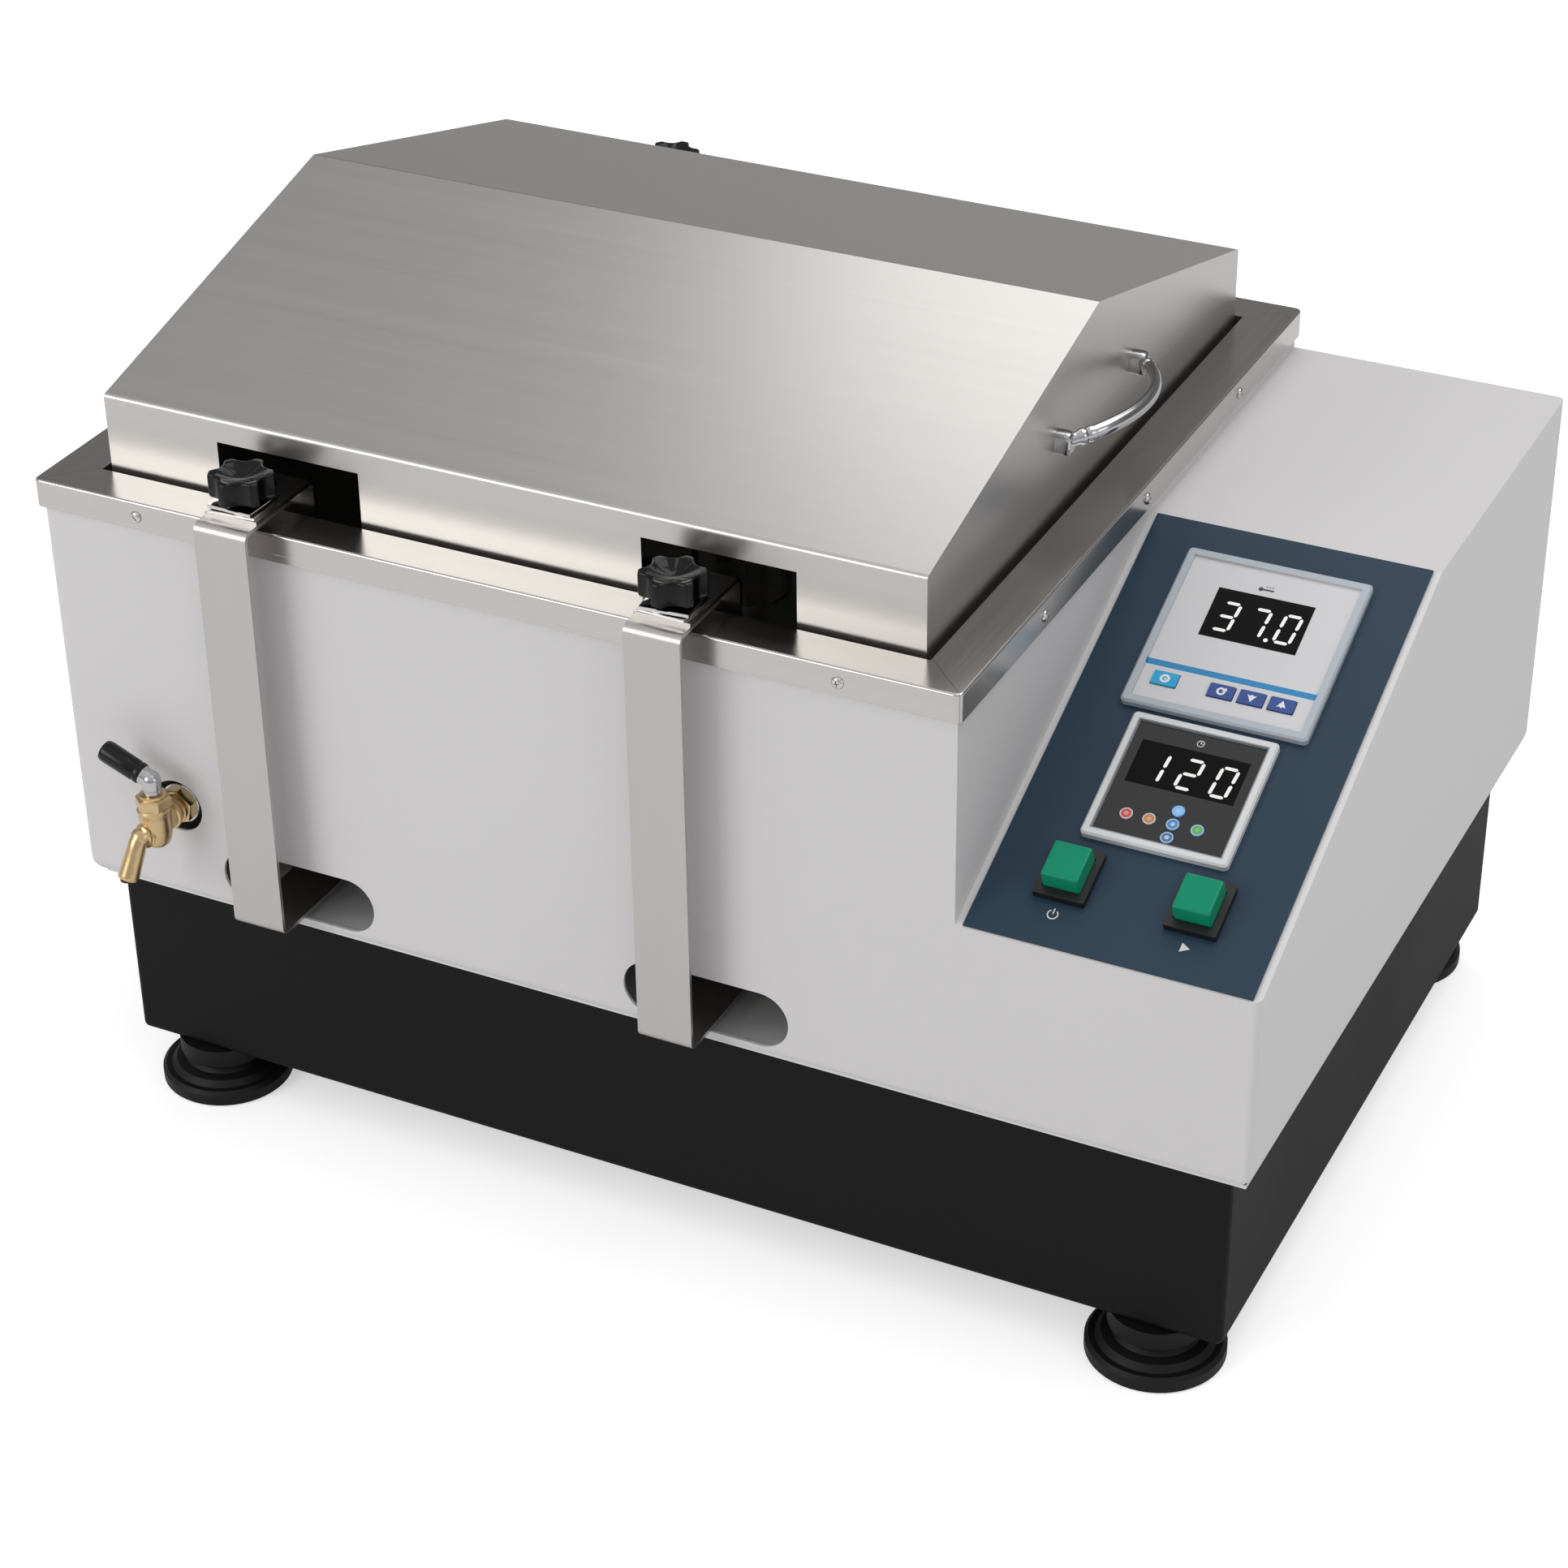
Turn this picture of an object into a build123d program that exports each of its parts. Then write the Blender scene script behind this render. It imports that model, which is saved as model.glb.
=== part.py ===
from build123d import *
import math
import os

os.makedirs("parts", exist_ok=True)

# Sheet metal
sheet = 1.5
lid_sheet = 1.2
fit_gap = 0.3
run_gap = 0.05

# White enclosure
body_w = 660.0
body_d = 458.0
bath_h = 235.0
control_w = 152.5
control_h = 214.0
slope_foot_h = 109.5
slope_run = 242.0
body_corner_r = 4.0
body_bottom_r = 8.0
floor_flange = 26.0
top_flange = 14.0

# Black base and its feet
base_h = 108.0
base_inset = 12.0
base_rear_inset = 20.0
base_flange = 22.0
base_sheet = 2.0
base_corner_r = 4.0
foot_h = 29.0
foot_r = 36.0
foot_edge = 2.0
foot_flange_h = 9.0
foot_neck_r = 21.0
foot_flare = ((10.0, 9.0), (7.0, 12.0), (2.0, 13.0), (0.0, 15.0), (0.0, 17.0))
foot_top_r = 25.0
foot_top_z = 19.0
foot_inset = 41.0
foot_front_inset = 20.0

# Rim frame round the tank
rim_over = 2.5
rim_edge_r = 1.2
lip_h = 15.0
rim_side = 29.5
rim_front = 27.5
lid_gap = 3.5
ledge_drop = 7.5
ledge_w = 12.0
screw_r = 3.2
screw_top_r = 2.3
screw_shank_r = 1.8
screw_head_h = 1.6
screw_l = 8.0
front_screw_inset = 62.0
side_screw_pitch = 133.0

# Tank
tank_floor_h = 49.0
tank_corner_r = 12.0
tank_floor_r = 6.0
heater_r = 5.0
heater_pitch = 60.0
heater_offset = 90.0
heater_lift = 16.0
heater_share = 0.69
heater_out = 18.0
probe_r = 3.0
probe_offset = 70.0
probe_in = 75.0
probe_out = 15.0

# Lid
lid_lip_h = 48.0
lid_rise = 53.0
lid_bend_r = 2.5
cut_w = 82.0
cut_top = 35.5

# Lid handles
handle_span = 105.0
handle_out = 34.0
handle_tilt = 10.0
handle_rod_r = 4.0
handle_foot_r = 6.0
handle_foot_l = 9.0
handle_h = 47.5

# Carriage stroke and arms
stroke = 24.0
arm_spread = 0.47
arm_w = 30.0
arm_t = 2.0
arm_out = 21.0
arm_rise = 7.5
arm_bend_r = 4.0
arm_foot_z = 8.5
arm_shelf = 42.0
arm_end_in = 60.0
slot_w = 92.0
slot_h = 31.7
slot_z = 7.5

# Tray, hangers and flask clamps
hanger_gap = 6.0
hanger_reach = 10.0
hanger_foot = 24.0
tray_side_gap = 8.0
tray_z = 79.0
tray_lip_h = 14.0
tray_hole_r = 7.0
tray_hole_share = 0.1375
tray_corner_r = 6.0
clamp_r = 29.0
clamp_h = 46.0
clamp_leaf_w = 12.0
clamp_leaf_inset = 2.0
clamp_share_x = 0.3
clamp_share_y = 0.41

# Knobs and their studs
stud_r = 4.0
stud_l = 17.0
stud_inset = 2.0
washer_w = 27.0
washer_d = 21.0
washer_step = 3.0
washer_t = 2.0
knob_r = 18.5
knob_head_h = 13.5
knob_hub_r = 8.5
knob_hub_h = 4.5
knob_lobes = 7
knob_valley_r = 6.5
knob_valley_offset = 3.6
knob_edge = 1.2
knob_dish_r = 11.0
knob_dish = 1.5

# Guide rods and bearings
rod_r = 5.0
rod_z = 26.0
rod_inset = 110.0
rod_end_gap = 49.0
bearing_l = 30.0
bearing_w = 28.0
bearing_pitch = 200.0
support_l = 16.0
support_over = 4.0
plate_w = 300.0
plate_t = 3.0
plate_edge = 8.0
deck_z = 1.5
deck_t = 2.0
deck_hole_r = 9.0

# Crank drive
crank_pin_r = 4.0
pin_over = 3.0
roller_r = 8.0
roller_h = 5.0
yoke_spare = 2.8
disc_r = 24.0
disc_z = 5.0
disc_h = 4.5
spindle_r = 6.0
spindle_bottom = 91.0
housing_r = 20.0
housing_l = 68.0
housing_flange_r = 32.0
pulley_z = 88.0
pulley_h = 12.0
crank_pulley_r = 45.0
motor_pulley_r = 15.0
pulley_hole_r = 9.0
pulley_holes_r = 26.0
shaft_r = 4.0
shaft_in = 20.0
motor_offset = 150.0
motor_r = 38.0
motor_h = 62.0
motor_edge = 2.0
boss_r = 12.0
boss_l = 4.0
bracket_margin = 10.0
bracket_corner_r = 6.0
bracket_t = 4.0
belt_t = 2.0
belt_w = 8.0

# Drain tap
tap_x_in = 63.0
tap_z = 57.5
tap_hole_r = 15.0
tap_stem_out = 20.0
tap_turn = 20.0
tap_pipe_r = 7.5
tap_bore_r = 5.5
tap_flange_r = 10.5
tap_flange_t = 5.0
tap_flange_gap = 1.0
tap_nut_r = 9.1
tap_nut_l = 5.0
tap_nut_out = 3.0
tap_body_r = 9.0
tap_body_h = 26.0
bonnet_h = 8.0
bonnet_r = 10.5
bonnet_lap = 1.0
tap_foot_r = 2.5
spout_reach = 21.0
spout_dip = 4.0
spout_bend_r = 13.0
spout_bore_l = 9.0
spout_drop = 26.0
spout_r = 5.5
spout_bore_r = 3.5
stem_r = 5.0
stem_h = 11.0
stem_neck_r = 4.4
stem_neck_l = 1.0
grip_edge_r = 1.5
grip_r = 5.5
grip_l = 31.0
grip_tilt = 22.0

# Control panel
panel_t = 1.5
panel_margin = 4.0
panel_l = 262.0
upper_w = 96.0
upper_l = 100.0
upper_u = 72.8
upper_s = 193.0
lower_w = 74.5
lower_l = 75.6
lower_u = 72.0
lower_s = 101.0
bezel_h = 4.0
frame_w = 4.5
controller_depth = 58.0
key_h = 0.8
key_travel = 0.4
bezel_corner_r = 2.5
bezel_edge = 1.0
face_drop = 1.2
window_t = 1.0
window_over = 0.2
upper_window = (50.0, 30.7, 72.8, 207.0)
lower_window = (55.0, 25.5, 72.1, 111.0)
upper_key_w = 13.0
upper_key_l = 8.0
upper_key_s = 160.8
upper_key_us = (42.0, 71.0, 86.5, 102.0)
lower_key_r = 3.2
lower_key_places = ((52.6, 79.8), (64.2, 79.8), (76.1, 87.8), (76.1, 79.8), (76.1, 71.8), (88.5, 79.8))
button_u = 38.9
button_pitch = 65.7
button_s = 39.8
switch_w = 26.4
switch_l = 30.6
cap_w = 19.0
cap_l = 20.5
cap_h = 13.0
cap_out = 9.5
cap_travel = 3.0
cap_edge = 0.8
switch_lap = 2.0
switch_depth = 30.0

# Control board
board_w = 100.0
board_d = 150.0
board_t = 1.6
board_inset = 6.0
board_y_in = 70.0
standoff_h = 10.0
standoff_r = 3.5
chip_h = 30.0

# Rear fittings
inlet_x_in = 60.0
inlet_z = 45.0
inlet_w = 48.0
inlet_h = 30.0
inlet_flange_t = 3.0
inlet_body_w = 30.0
inlet_body_h = 22.0
inlet_body_l = 24.0
socket_w = 25.0
socket_h = 17.0
socket_l = 19.0
blade_w = 2.0
blade_h = 4.0
blade_l = 14.0
blade_pitch = 7.0
cover_w = 116.0
cover_h = 116.0
cover_z = 138.0
cover_lap = 8.0
vent_w = 78.0
vent_h = 4.0
vent_count = 7
vent_pitch = 12.0
cover_corner_r = 4.0
cover_screw_in = 4.5

# Overall frame: origin under the middle of the whole object
front_reach = tap_stem_out + spout_reach * math.cos(math.radians(tap_turn)) + spout_r
rear_reach = arm_out
left_reach = handle_out * math.cos(math.radians(handle_tilt)) + handle_rod_r - (rim_side - rim_over)
total_d = front_reach + body_d + rear_reach
total_w = left_reach + body_w
y_front = -total_d / 2 + front_reach
y_back = y_front + body_d
y_mid = (y_front + y_back) / 2
x_right = total_w / 2
x_left = x_right - body_w
x_control = x_right - control_w
z_base = foot_h
z_body = foot_h + base_h
z_rim = z_body + bath_h + sheet

# Plan sizes of the bath section
bath_w = body_w - control_w
arm_pitch = bath_w * arm_spread
rod_half_l = bath_w / 2 - rod_end_gap
x_bath = x_left + bath_w / 2
rim_w = bath_w + 2 * rim_over
rim_d = body_d + 2 * rim_over
lid_w = rim_w - 2 * rim_side
lid_d = rim_d - 2 * rim_front
well_w = lid_w + 2 * lid_gap
well_d = lid_d + 2 * lid_gap
tank_w = well_w - 2 * ledge_w
tank_d = well_d - 2 * ledge_w
z_ledge = z_rim - ledge_drop
z_tank_floor = z_body + tank_floor_h
tank_depth = z_ledge - z_tank_floor
z_lid = z_ledge + fit_gap

# Carriage at rest, at the left end of its stroke
x_rest = x_bath - stroke / 2
x_arm_left = x_rest - arm_pitch / 2
x_arm_right = x_rest + arm_pitch / 2
z_arm = z_rim + arm_rise
z_strap = z_body + arm_foot_z
z_plate = z_strap + arm_t
z_rod = z_body + rod_z
rod_ys = (y_front + rod_inset, y_back - rod_inset)
slot_xs = (x_bath - arm_pitch / 2, x_bath + arm_pitch / 2)
yoke_slot_w = 2 * (roller_r + yoke_spare)
crank_arm = stroke / 2

# Control panel plane: local X across, local Y up the slope, local Z out of it
slope_angle = math.atan2(control_h - slope_foot_h, slope_run)
slope_l = math.hypot(control_h - slope_foot_h, slope_run)
slope_normal = (0, -math.sin(slope_angle), math.cos(slope_angle))
panel_w = control_w - 2 * panel_margin
panel_x = x_control + panel_margin
panel_start = (slope_l - panel_l) / 2
panel_plane = Plane(
    origin=(
        panel_x,
        y_front + panel_start * math.cos(slope_angle),
        z_body + slope_foot_h + panel_start * math.sin(slope_angle),
    ),
    x_dir=(1, 0, 0),
    z_dir=slope_normal,
)


def save(piece, name):
    """Label a finished piece and write it as one STEP file."""
    piece.label = name
    export_step(piece, f"parts/{name}.step")


# Black base housing: a folded tray with an inward flange that carries the deck
base_w = body_w - 2 * base_inset
base_d = body_d - base_inset - base_rear_inset
base_y = (y_front + base_inset + y_back - base_rear_inset) / 2
base_x = (x_left + x_right) / 2
with BuildPart() as base_housing:
    with BuildSketch(Plane.XY.offset(z_base)):
        with Locations((base_x, base_y)):
            Rectangle(base_w, base_d)
    extrude(amount=base_h)
    fillet(base_housing.edges().filter_by(Axis.Z), base_corner_r)
    fillet(base_housing.faces().sort_by(Axis.Z)[0].edges(), base_corner_r)
    with BuildSketch(Plane.XY.offset(z_base + base_sheet)):
        with Locations((base_x, base_y)):
            Rectangle(base_w - 2 * base_sheet, base_d - 2 * base_sheet)
    extrude(amount=base_h - 2 * base_sheet, mode=Mode.SUBTRACT)
    with BuildSketch(Plane.XY.offset(z_base + base_h - base_sheet)):
        with Locations((base_x, base_y)):
            Rectangle(base_w - 2 * base_flange, base_d - 2 * base_flange)
    extrude(amount=base_sheet, mode=Mode.SUBTRACT)
save(base_housing.part, "base_housing")

# Rubber feet with a flared flange under a narrower neck
foot_xs = (x_left + base_inset + foot_inset, x_right - base_inset - foot_inset)
foot_ys = (y_front + base_inset + foot_front_inset, y_back - base_rear_inset - foot_front_inset)
with BuildPart() as rubber_feet:
    with BuildSketch(Plane.XZ):
        with BuildLine():
            Polyline(
                (0, 0),
                (foot_r - foot_edge / 2, 0),
                (foot_r, foot_edge / 2),
                (foot_r, foot_flange_h - foot_edge),
                (foot_r - foot_edge, foot_flange_h),
                *[(foot_neck_r + out, z) for out, z in foot_flare],
                (foot_top_r, foot_top_z),
                (foot_top_r, foot_h),
                (0, foot_h),
                close=True,
            )
        make_face()
    foot_solid = revolve(axis=Axis.Z, mode=Mode.PRIVATE)
    with Locations([(x, y, 0) for x in foot_xs for y in foot_ys]):
        add(foot_solid)
save(rubber_feet.part, "rubber_feet")

# Places of the rim screws: head seats on the lip, local Z pointing out
below = (Align.CENTER, Align.CENTER, Align.MAX)
screw_z = z_rim - lip_h / 2 - sheet / 2
front_screw_xs = (x_bath - rim_w / 2 + front_screw_inset, x_bath + rim_w / 2 - front_screw_inset)
side_screw_ys = (y_mid - side_screw_pitch, y_mid, y_mid + side_screw_pitch)
head_places = []
for x in front_screw_xs:
    head_places.append(Location((x, y_mid - rim_d / 2, screw_z), (90, 0, 0)))
    head_places.append(Location((x, y_mid + rim_d / 2, screw_z), (-90, 0, 0)))
for y in side_screw_ys:
    head_places.append(Location((x_bath - rim_w / 2, y, screw_z), (0, -90, 0)))
    head_places.append(Location((x_bath + rim_w / 2, y, screw_z), (0, 90, 0)))

# White enclosure: bath section and the lower control section with its sloped front
inner_slope_shift = sheet / math.cos(slope_angle)
inner_foot_drop = inner_slope_shift - sheet * math.tan(slope_angle)
switch_places = [(button_u + i * button_pitch, button_s) for i in range(2)]
with BuildPart() as enclosure:
    with BuildSketch(Plane.XY.offset(z_body)):
        with Locations((x_bath, y_mid)):
            Rectangle(bath_w, body_d)
    extrude(amount=bath_h)
    with BuildSketch(Plane.YZ.offset(x_control - sheet)):
        with BuildLine():
            Polyline(
                (y_front, z_body),
                (y_front, z_body + slope_foot_h),
                (y_front + slope_run, z_body + control_h),
                (y_back, z_body + control_h),
                (y_back, z_body),
                close=True,
            )
        make_face()
    extrude(amount=control_w + sheet)
    outer_corners = enclosure.edges().filter_by(Axis.Z)
    fillet(outer_corners.group_by(Axis.X)[0] + outer_corners.group_by(Axis.X)[-1], body_corner_r)
    left_foot = enclosure.faces().sort_by(Axis.Z)[0].edges().filter_by(Axis.Y).sort_by(Axis.X)[0]
    fillet(left_foot, body_bottom_r)
    # Bath cavity following the rounded foot, open at the top inside its flange
    with BuildSketch(Plane.XZ.offset(-y_front - sheet)) as cavity:
        with Locations((x_bath, z_body + bath_h / 2)):
            Rectangle(bath_w - 2 * sheet, bath_h - 2 * sheet)
        fillet(cavity.vertices().sort_by(lambda v: v.X + v.Y)[0], body_bottom_r - sheet)
    extrude(amount=-(body_d - 2 * sheet), mode=Mode.SUBTRACT)
    with BuildSketch(Plane.XY.offset(z_body + bath_h - sheet)):
        with Locations((x_bath, y_mid)):
            Rectangle(bath_w - 2 * top_flange, body_d - 2 * top_flange)
    extrude(amount=sheet, mode=Mode.SUBTRACT)
    # Control cavity, joined to the bath cavity below the slope
    with BuildSketch(Plane.YZ.offset(x_control - 2 * sheet)):
        with BuildLine():
            Polyline(
                (y_front + sheet, z_body + sheet),
                (y_front + sheet, z_body + slope_foot_h - inner_foot_drop),
                (y_front + slope_run, z_body + control_h - inner_slope_shift),
                (y_front + slope_run + sheet, z_body + control_h - sheet),
                (y_back - sheet, z_body + control_h - sheet),
                (y_back - sheet, z_body + sheet),
                close=True,
            )
        make_face()
    extrude(amount=control_w + sheet, mode=Mode.SUBTRACT)
    # Floor opening inside the flange that rests on the base
    with BuildSketch(Plane.XY.offset(z_body)):
        with Locations(((x_left + x_right) / 2, y_mid)):
            Rectangle(body_w - 2 * floor_flange, body_d - 2 * floor_flange)
    extrude(amount=sheet, mode=Mode.SUBTRACT)
    # Arm slots: two in front, one behind the left arm
    with BuildSketch(Plane.XZ.offset(-y_front)):
        with Locations([(x, z_body + slot_z + slot_h / 2) for x in slot_xs]):
            SlotOverall(slot_w, slot_h)
        with Locations((x_left + tap_x_in, z_body + tap_z)):
            Circle(tap_hole_r)
    extrude(amount=-sheet, mode=Mode.SUBTRACT)
    with BuildSketch(Plane.XZ.offset(-y_back)):
        with Locations((slot_xs[0], z_body + slot_z + slot_h / 2)):
            SlotOverall(slot_w, slot_h)
        with Locations((x_right - inlet_x_in, z_body + inlet_z)):
            Rectangle(inlet_body_w + 2 * fit_gap, inlet_body_h + 2 * fit_gap)
        with Locations((x_right - control_w / 2, z_body + cover_z)):
            Rectangle(cover_w - 2 * cover_lap, cover_h - 2 * cover_lap)
    extrude(amount=sheet, mode=Mode.SUBTRACT)
    # Openings in the slope for what is set into the panel
    with BuildSketch(panel_plane):
        with Locations((upper_u, upper_s)):
            Rectangle(upper_w - 2 * frame_w, upper_l - 2 * frame_w)
        with Locations((lower_u, lower_s)):
            Rectangle(lower_w - 2 * frame_w, lower_l - 2 * frame_w)
        with Locations(switch_places):
            Rectangle(switch_w - 2 * switch_lap, switch_l - 2 * switch_lap)
    extrude(amount=-2 * sheet, mode=Mode.SUBTRACT)
    with Locations(head_places):
        Cylinder(screw_shank_r + run_gap, screw_l, align=below, mode=Mode.SUBTRACT)
save(enclosure.part, "enclosure")

# Deck plate inside the enclosure, clear of its walls and of the spindle
motor_x = x_bath + motor_offset
deck_w = body_w - body_bottom_r - 2 * sheet - 2 * fit_gap
deck_d = body_d - 2 * sheet - 2 * fit_gap
with BuildPart() as deck_plate:
    with BuildSketch(Plane.XY.offset(z_body + deck_z)):
        with Locations(((x_left + x_right + body_bottom_r) / 2, y_mid)):
            Rectangle(deck_w, deck_d)
        with Locations((x_bath, y_mid)):
            Circle(deck_hole_r, mode=Mode.SUBTRACT)
    extrude(amount=deck_t)
save(deck_plate.part, "deck_plate")

# Rim frame: top plate, downturned lip and the recessed ledge that the lid stands on
with BuildPart() as rim_frame:
    with BuildSketch(Plane.XY.offset(z_rim - lip_h)):
        with Locations((x_bath, y_mid)):
            Rectangle(rim_w, rim_d)
    extrude(amount=lip_h)
    fillet(rim_frame.edges().filter_by(Axis.Z), body_corner_r)
    fillet(rim_frame.faces().sort_by(Axis.Z)[-1].edges(), rim_edge_r)
    with BuildSketch(Plane.XY.offset(z_rim - lip_h)):
        with Locations((x_bath, y_mid)):
            Rectangle(rim_w - 2 * sheet, rim_d - 2 * sheet)
    extrude(amount=lip_h - sheet, mode=Mode.SUBTRACT)
    with BuildSketch(Plane.XY.offset(z_ledge - sheet)):
        with Locations((x_bath, y_mid)):
            Rectangle(well_w + 2 * sheet, well_d + 2 * sheet)
    extrude(amount=z_rim - z_ledge)
    with BuildSketch(Plane.XY.offset(z_ledge)):
        with Locations((x_bath, y_mid)):
            Rectangle(well_w, well_d)
    extrude(amount=z_rim - z_ledge, mode=Mode.SUBTRACT)
    with BuildSketch(Plane.XY.offset(z_ledge - sheet)):
        with Locations((x_bath, y_mid)):
            Rectangle(tank_w, tank_d)
    extrude(amount=sheet, mode=Mode.SUBTRACT)
    with Locations(head_places):
        Cylinder(screw_shank_r + run_gap, screw_l, align=below, mode=Mode.SUBTRACT)
save(rim_frame.part, "rim_frame")

# Rim screws: pan heads on the lip, shanks through it into the enclosure
with BuildPart() as rim_screws:
    with Locations(head_places):
        Cone(screw_r, screw_top_r, screw_head_h, align=(Align.CENTER, Align.CENTER, Align.MIN))
        Cylinder(screw_shank_r, screw_l, align=below)
save(rim_screws.part, "rim_screws")

# Water tank: flange under the ledge, rounded walls, drain and heater holes
tap_x = x_left + tap_x_in
z_tap = z_body + tap_z
heater_z = z_tank_floor + heater_lift
probe_y = y_mid + probe_offset
heater_ys = (y_mid - heater_offset - heater_pitch / 2, y_mid - heater_offset + heater_pitch / 2)
with BuildPart() as water_tank:
    with BuildSketch(Plane.XY.offset(z_tank_floor - sheet)):
        with Locations((x_bath, y_mid)):
            RectangleRounded(tank_w, tank_d, tank_corner_r)
    extrude(amount=tank_depth)
    with BuildSketch(Plane.XY.offset(z_ledge - 2 * sheet)):
        with Locations((x_bath, y_mid)):
            Rectangle(well_w, well_d)
    extrude(amount=sheet)
    with BuildSketch(Plane.XY.offset(z_tank_floor)):
        with Locations((x_bath, y_mid)):
            RectangleRounded(tank_w - 2 * sheet, tank_d - 2 * sheet, tank_corner_r - sheet)
    extrude(amount=tank_depth, mode=Mode.SUBTRACT)
    fillet(water_tank.faces().filter_by(Plane.XY).sort_by(Axis.Z)[1].edges(), tank_floor_r - sheet)
    fillet(water_tank.faces().sort_by(Axis.Z)[0].edges(), tank_floor_r)
    with BuildSketch(Plane.XZ.offset(-(y_mid - tank_d / 2))):
        with Locations((tap_x, z_tap)):
            Circle(tap_bore_r)
    extrude(amount=-2 * sheet, mode=Mode.SUBTRACT)
    with BuildSketch(Plane.YZ.offset(x_bath + tank_w / 2 - 2 * sheet)):
        with Locations([(y, heater_z) for y in heater_ys]):
            Circle(heater_r + run_gap)
        with Locations((probe_y, heater_z)):
            Circle(probe_r + run_gap)
    extrude(amount=3 * sheet, mode=Mode.SUBTRACT)
save(water_tank.part, "water_tank")

# Heater: a bent tube low over the tank floor, both ends through the right wall
heater_l = tank_w * heater_share
x_heater_end = x_bath + tank_w / 2 + heater_out
with BuildPart() as heater_element:
    with BuildLine() as heater_path:
        FilletPolyline(
            (x_heater_end, heater_ys[0], heater_z),
            (x_heater_end - heater_l, heater_ys[0], heater_z),
            (x_heater_end - heater_l, heater_ys[1], heater_z),
            (x_heater_end, heater_ys[1], heater_z),
            radius=heater_pitch * 0.48,
        )
    with BuildSketch(Plane.YZ.offset(x_heater_end)):
        with Locations((heater_ys[0], heater_z)):
            Circle(heater_r)
    sweep()
save(heater_element.part, "heater_element")

# Temperature probe through the same wall
with BuildPart() as temperature_probe:
    with BuildSketch(Plane.YZ.offset(x_bath + tank_w / 2 - probe_in)):
        with Locations((probe_y, heater_z)):
            Circle(probe_r)
    extrude(amount=probe_in + probe_out)
save(temperature_probe.part, "temperature_probe")

# Tap body: inlet pipe, valve barrel and bonnet in one casting with a curved spout
y_stem = y_front - tap_stem_out
y_tank_front = y_mid - tank_d / 2
spout_dir = Vector(-math.sin(math.radians(tap_turn)), -math.cos(math.radians(tap_turn)), 0)
spout_plane = Plane(
    origin=(tap_x, y_stem, z_tap),
    x_dir=spout_dir,
    z_dir=spout_dir.cross(Vector(0, 0, 1)),
)
with BuildPart() as drain_tap:
    with BuildSketch(Plane.XZ.offset(-y_tank_front)):
        with Locations((tap_x, z_tap)):
            Circle(tap_pipe_r)
    extrude(amount=y_tank_front - y_stem)
    with BuildSketch(Plane.XZ.offset(-(y_front + tap_flange_t + tap_flange_gap))):
        with Locations((tap_x, z_tap)):
            Circle(tap_flange_r)
    extrude(amount=tap_flange_t)
    with BuildSketch(Plane.XZ.offset(-(y_front - tap_nut_out))):
        with Locations((tap_x, z_tap)):
            RegularPolygon(tap_nut_r, 8)
    extrude(amount=tap_nut_l)
    with BuildSketch(Plane.XY.offset(z_tap - tap_body_h / 2)):
        with Locations((tap_x, y_stem)):
            Circle(tap_body_r)
    extrude(amount=tap_body_h)
    with BuildSketch(Plane.XY.offset(z_tap + tap_body_h / 2 - bonnet_lap)):
        with Locations((tap_x, y_stem)):
            RegularPolygon(bonnet_r, 6)
    extrude(amount=bonnet_h)
    fillet(drain_tap.faces().sort_by(Axis.Z)[0].edges(), tap_foot_r)
    with BuildLine(spout_plane) as spout_path:
        FilletPolyline(
            (0, -spout_dip),
            (spout_reach, -spout_dip / 4),
            (spout_reach, -spout_drop),
            radius=spout_bend_r,
        )
    with BuildSketch(Plane(origin=spout_path.line @ 0, z_dir=spout_path.line % 0)):
        Circle(spout_r)
    sweep()
    with BuildSketch(Plane(origin=spout_path.line @ 1, z_dir=spout_path.line % 1)):
        Circle(spout_bore_r)
    extrude(amount=-spout_bore_l, mode=Mode.SUBTRACT)
    with BuildSketch(Plane.XZ.offset(-y_tank_front)):
        with Locations((tap_x, z_tap)):
            Circle(tap_bore_r)
    extrude(amount=y_tank_front - y_stem - tap_body_r, mode=Mode.SUBTRACT)
save(drain_tap.part, "drain_tap")

# Tap lever: chrome stem with an angled neck, and its black grip
z_stem = z_tap + tap_body_h / 2 - bonnet_lap + bonnet_h
grip_dir = Vector(-math.cos(math.radians(grip_tilt)), 0, math.sin(math.radians(grip_tilt)))
grip_start = Vector(tap_x, y_stem, z_stem + stem_h - stem_r) + grip_dir * (stem_r + stem_neck_l)
with BuildPart() as tap_lever:
    with BuildSketch(Plane.XY.offset(z_stem)):
        with Locations((tap_x, y_stem)):
            Circle(stem_r)
    extrude(amount=stem_h - stem_r)
    with Locations((tap_x, y_stem, z_stem + stem_h - stem_r)):
        Sphere(stem_r)
    with BuildSketch(Plane(origin=grip_start, z_dir=grip_dir)):
        Circle(stem_neck_r)
    extrude(amount=-(stem_r + stem_neck_l))
save(tap_lever.part, "tap_lever")

with BuildPart() as tap_grip:
    with BuildSketch(Plane(origin=grip_start, z_dir=grip_dir)):
        Circle(grip_r)
    extrude(amount=grip_l)
    fillet(tap_grip.edges().filter_by(GeomType.CIRCLE), grip_edge_r)
save(tap_grip.part, "tap_grip")

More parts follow.
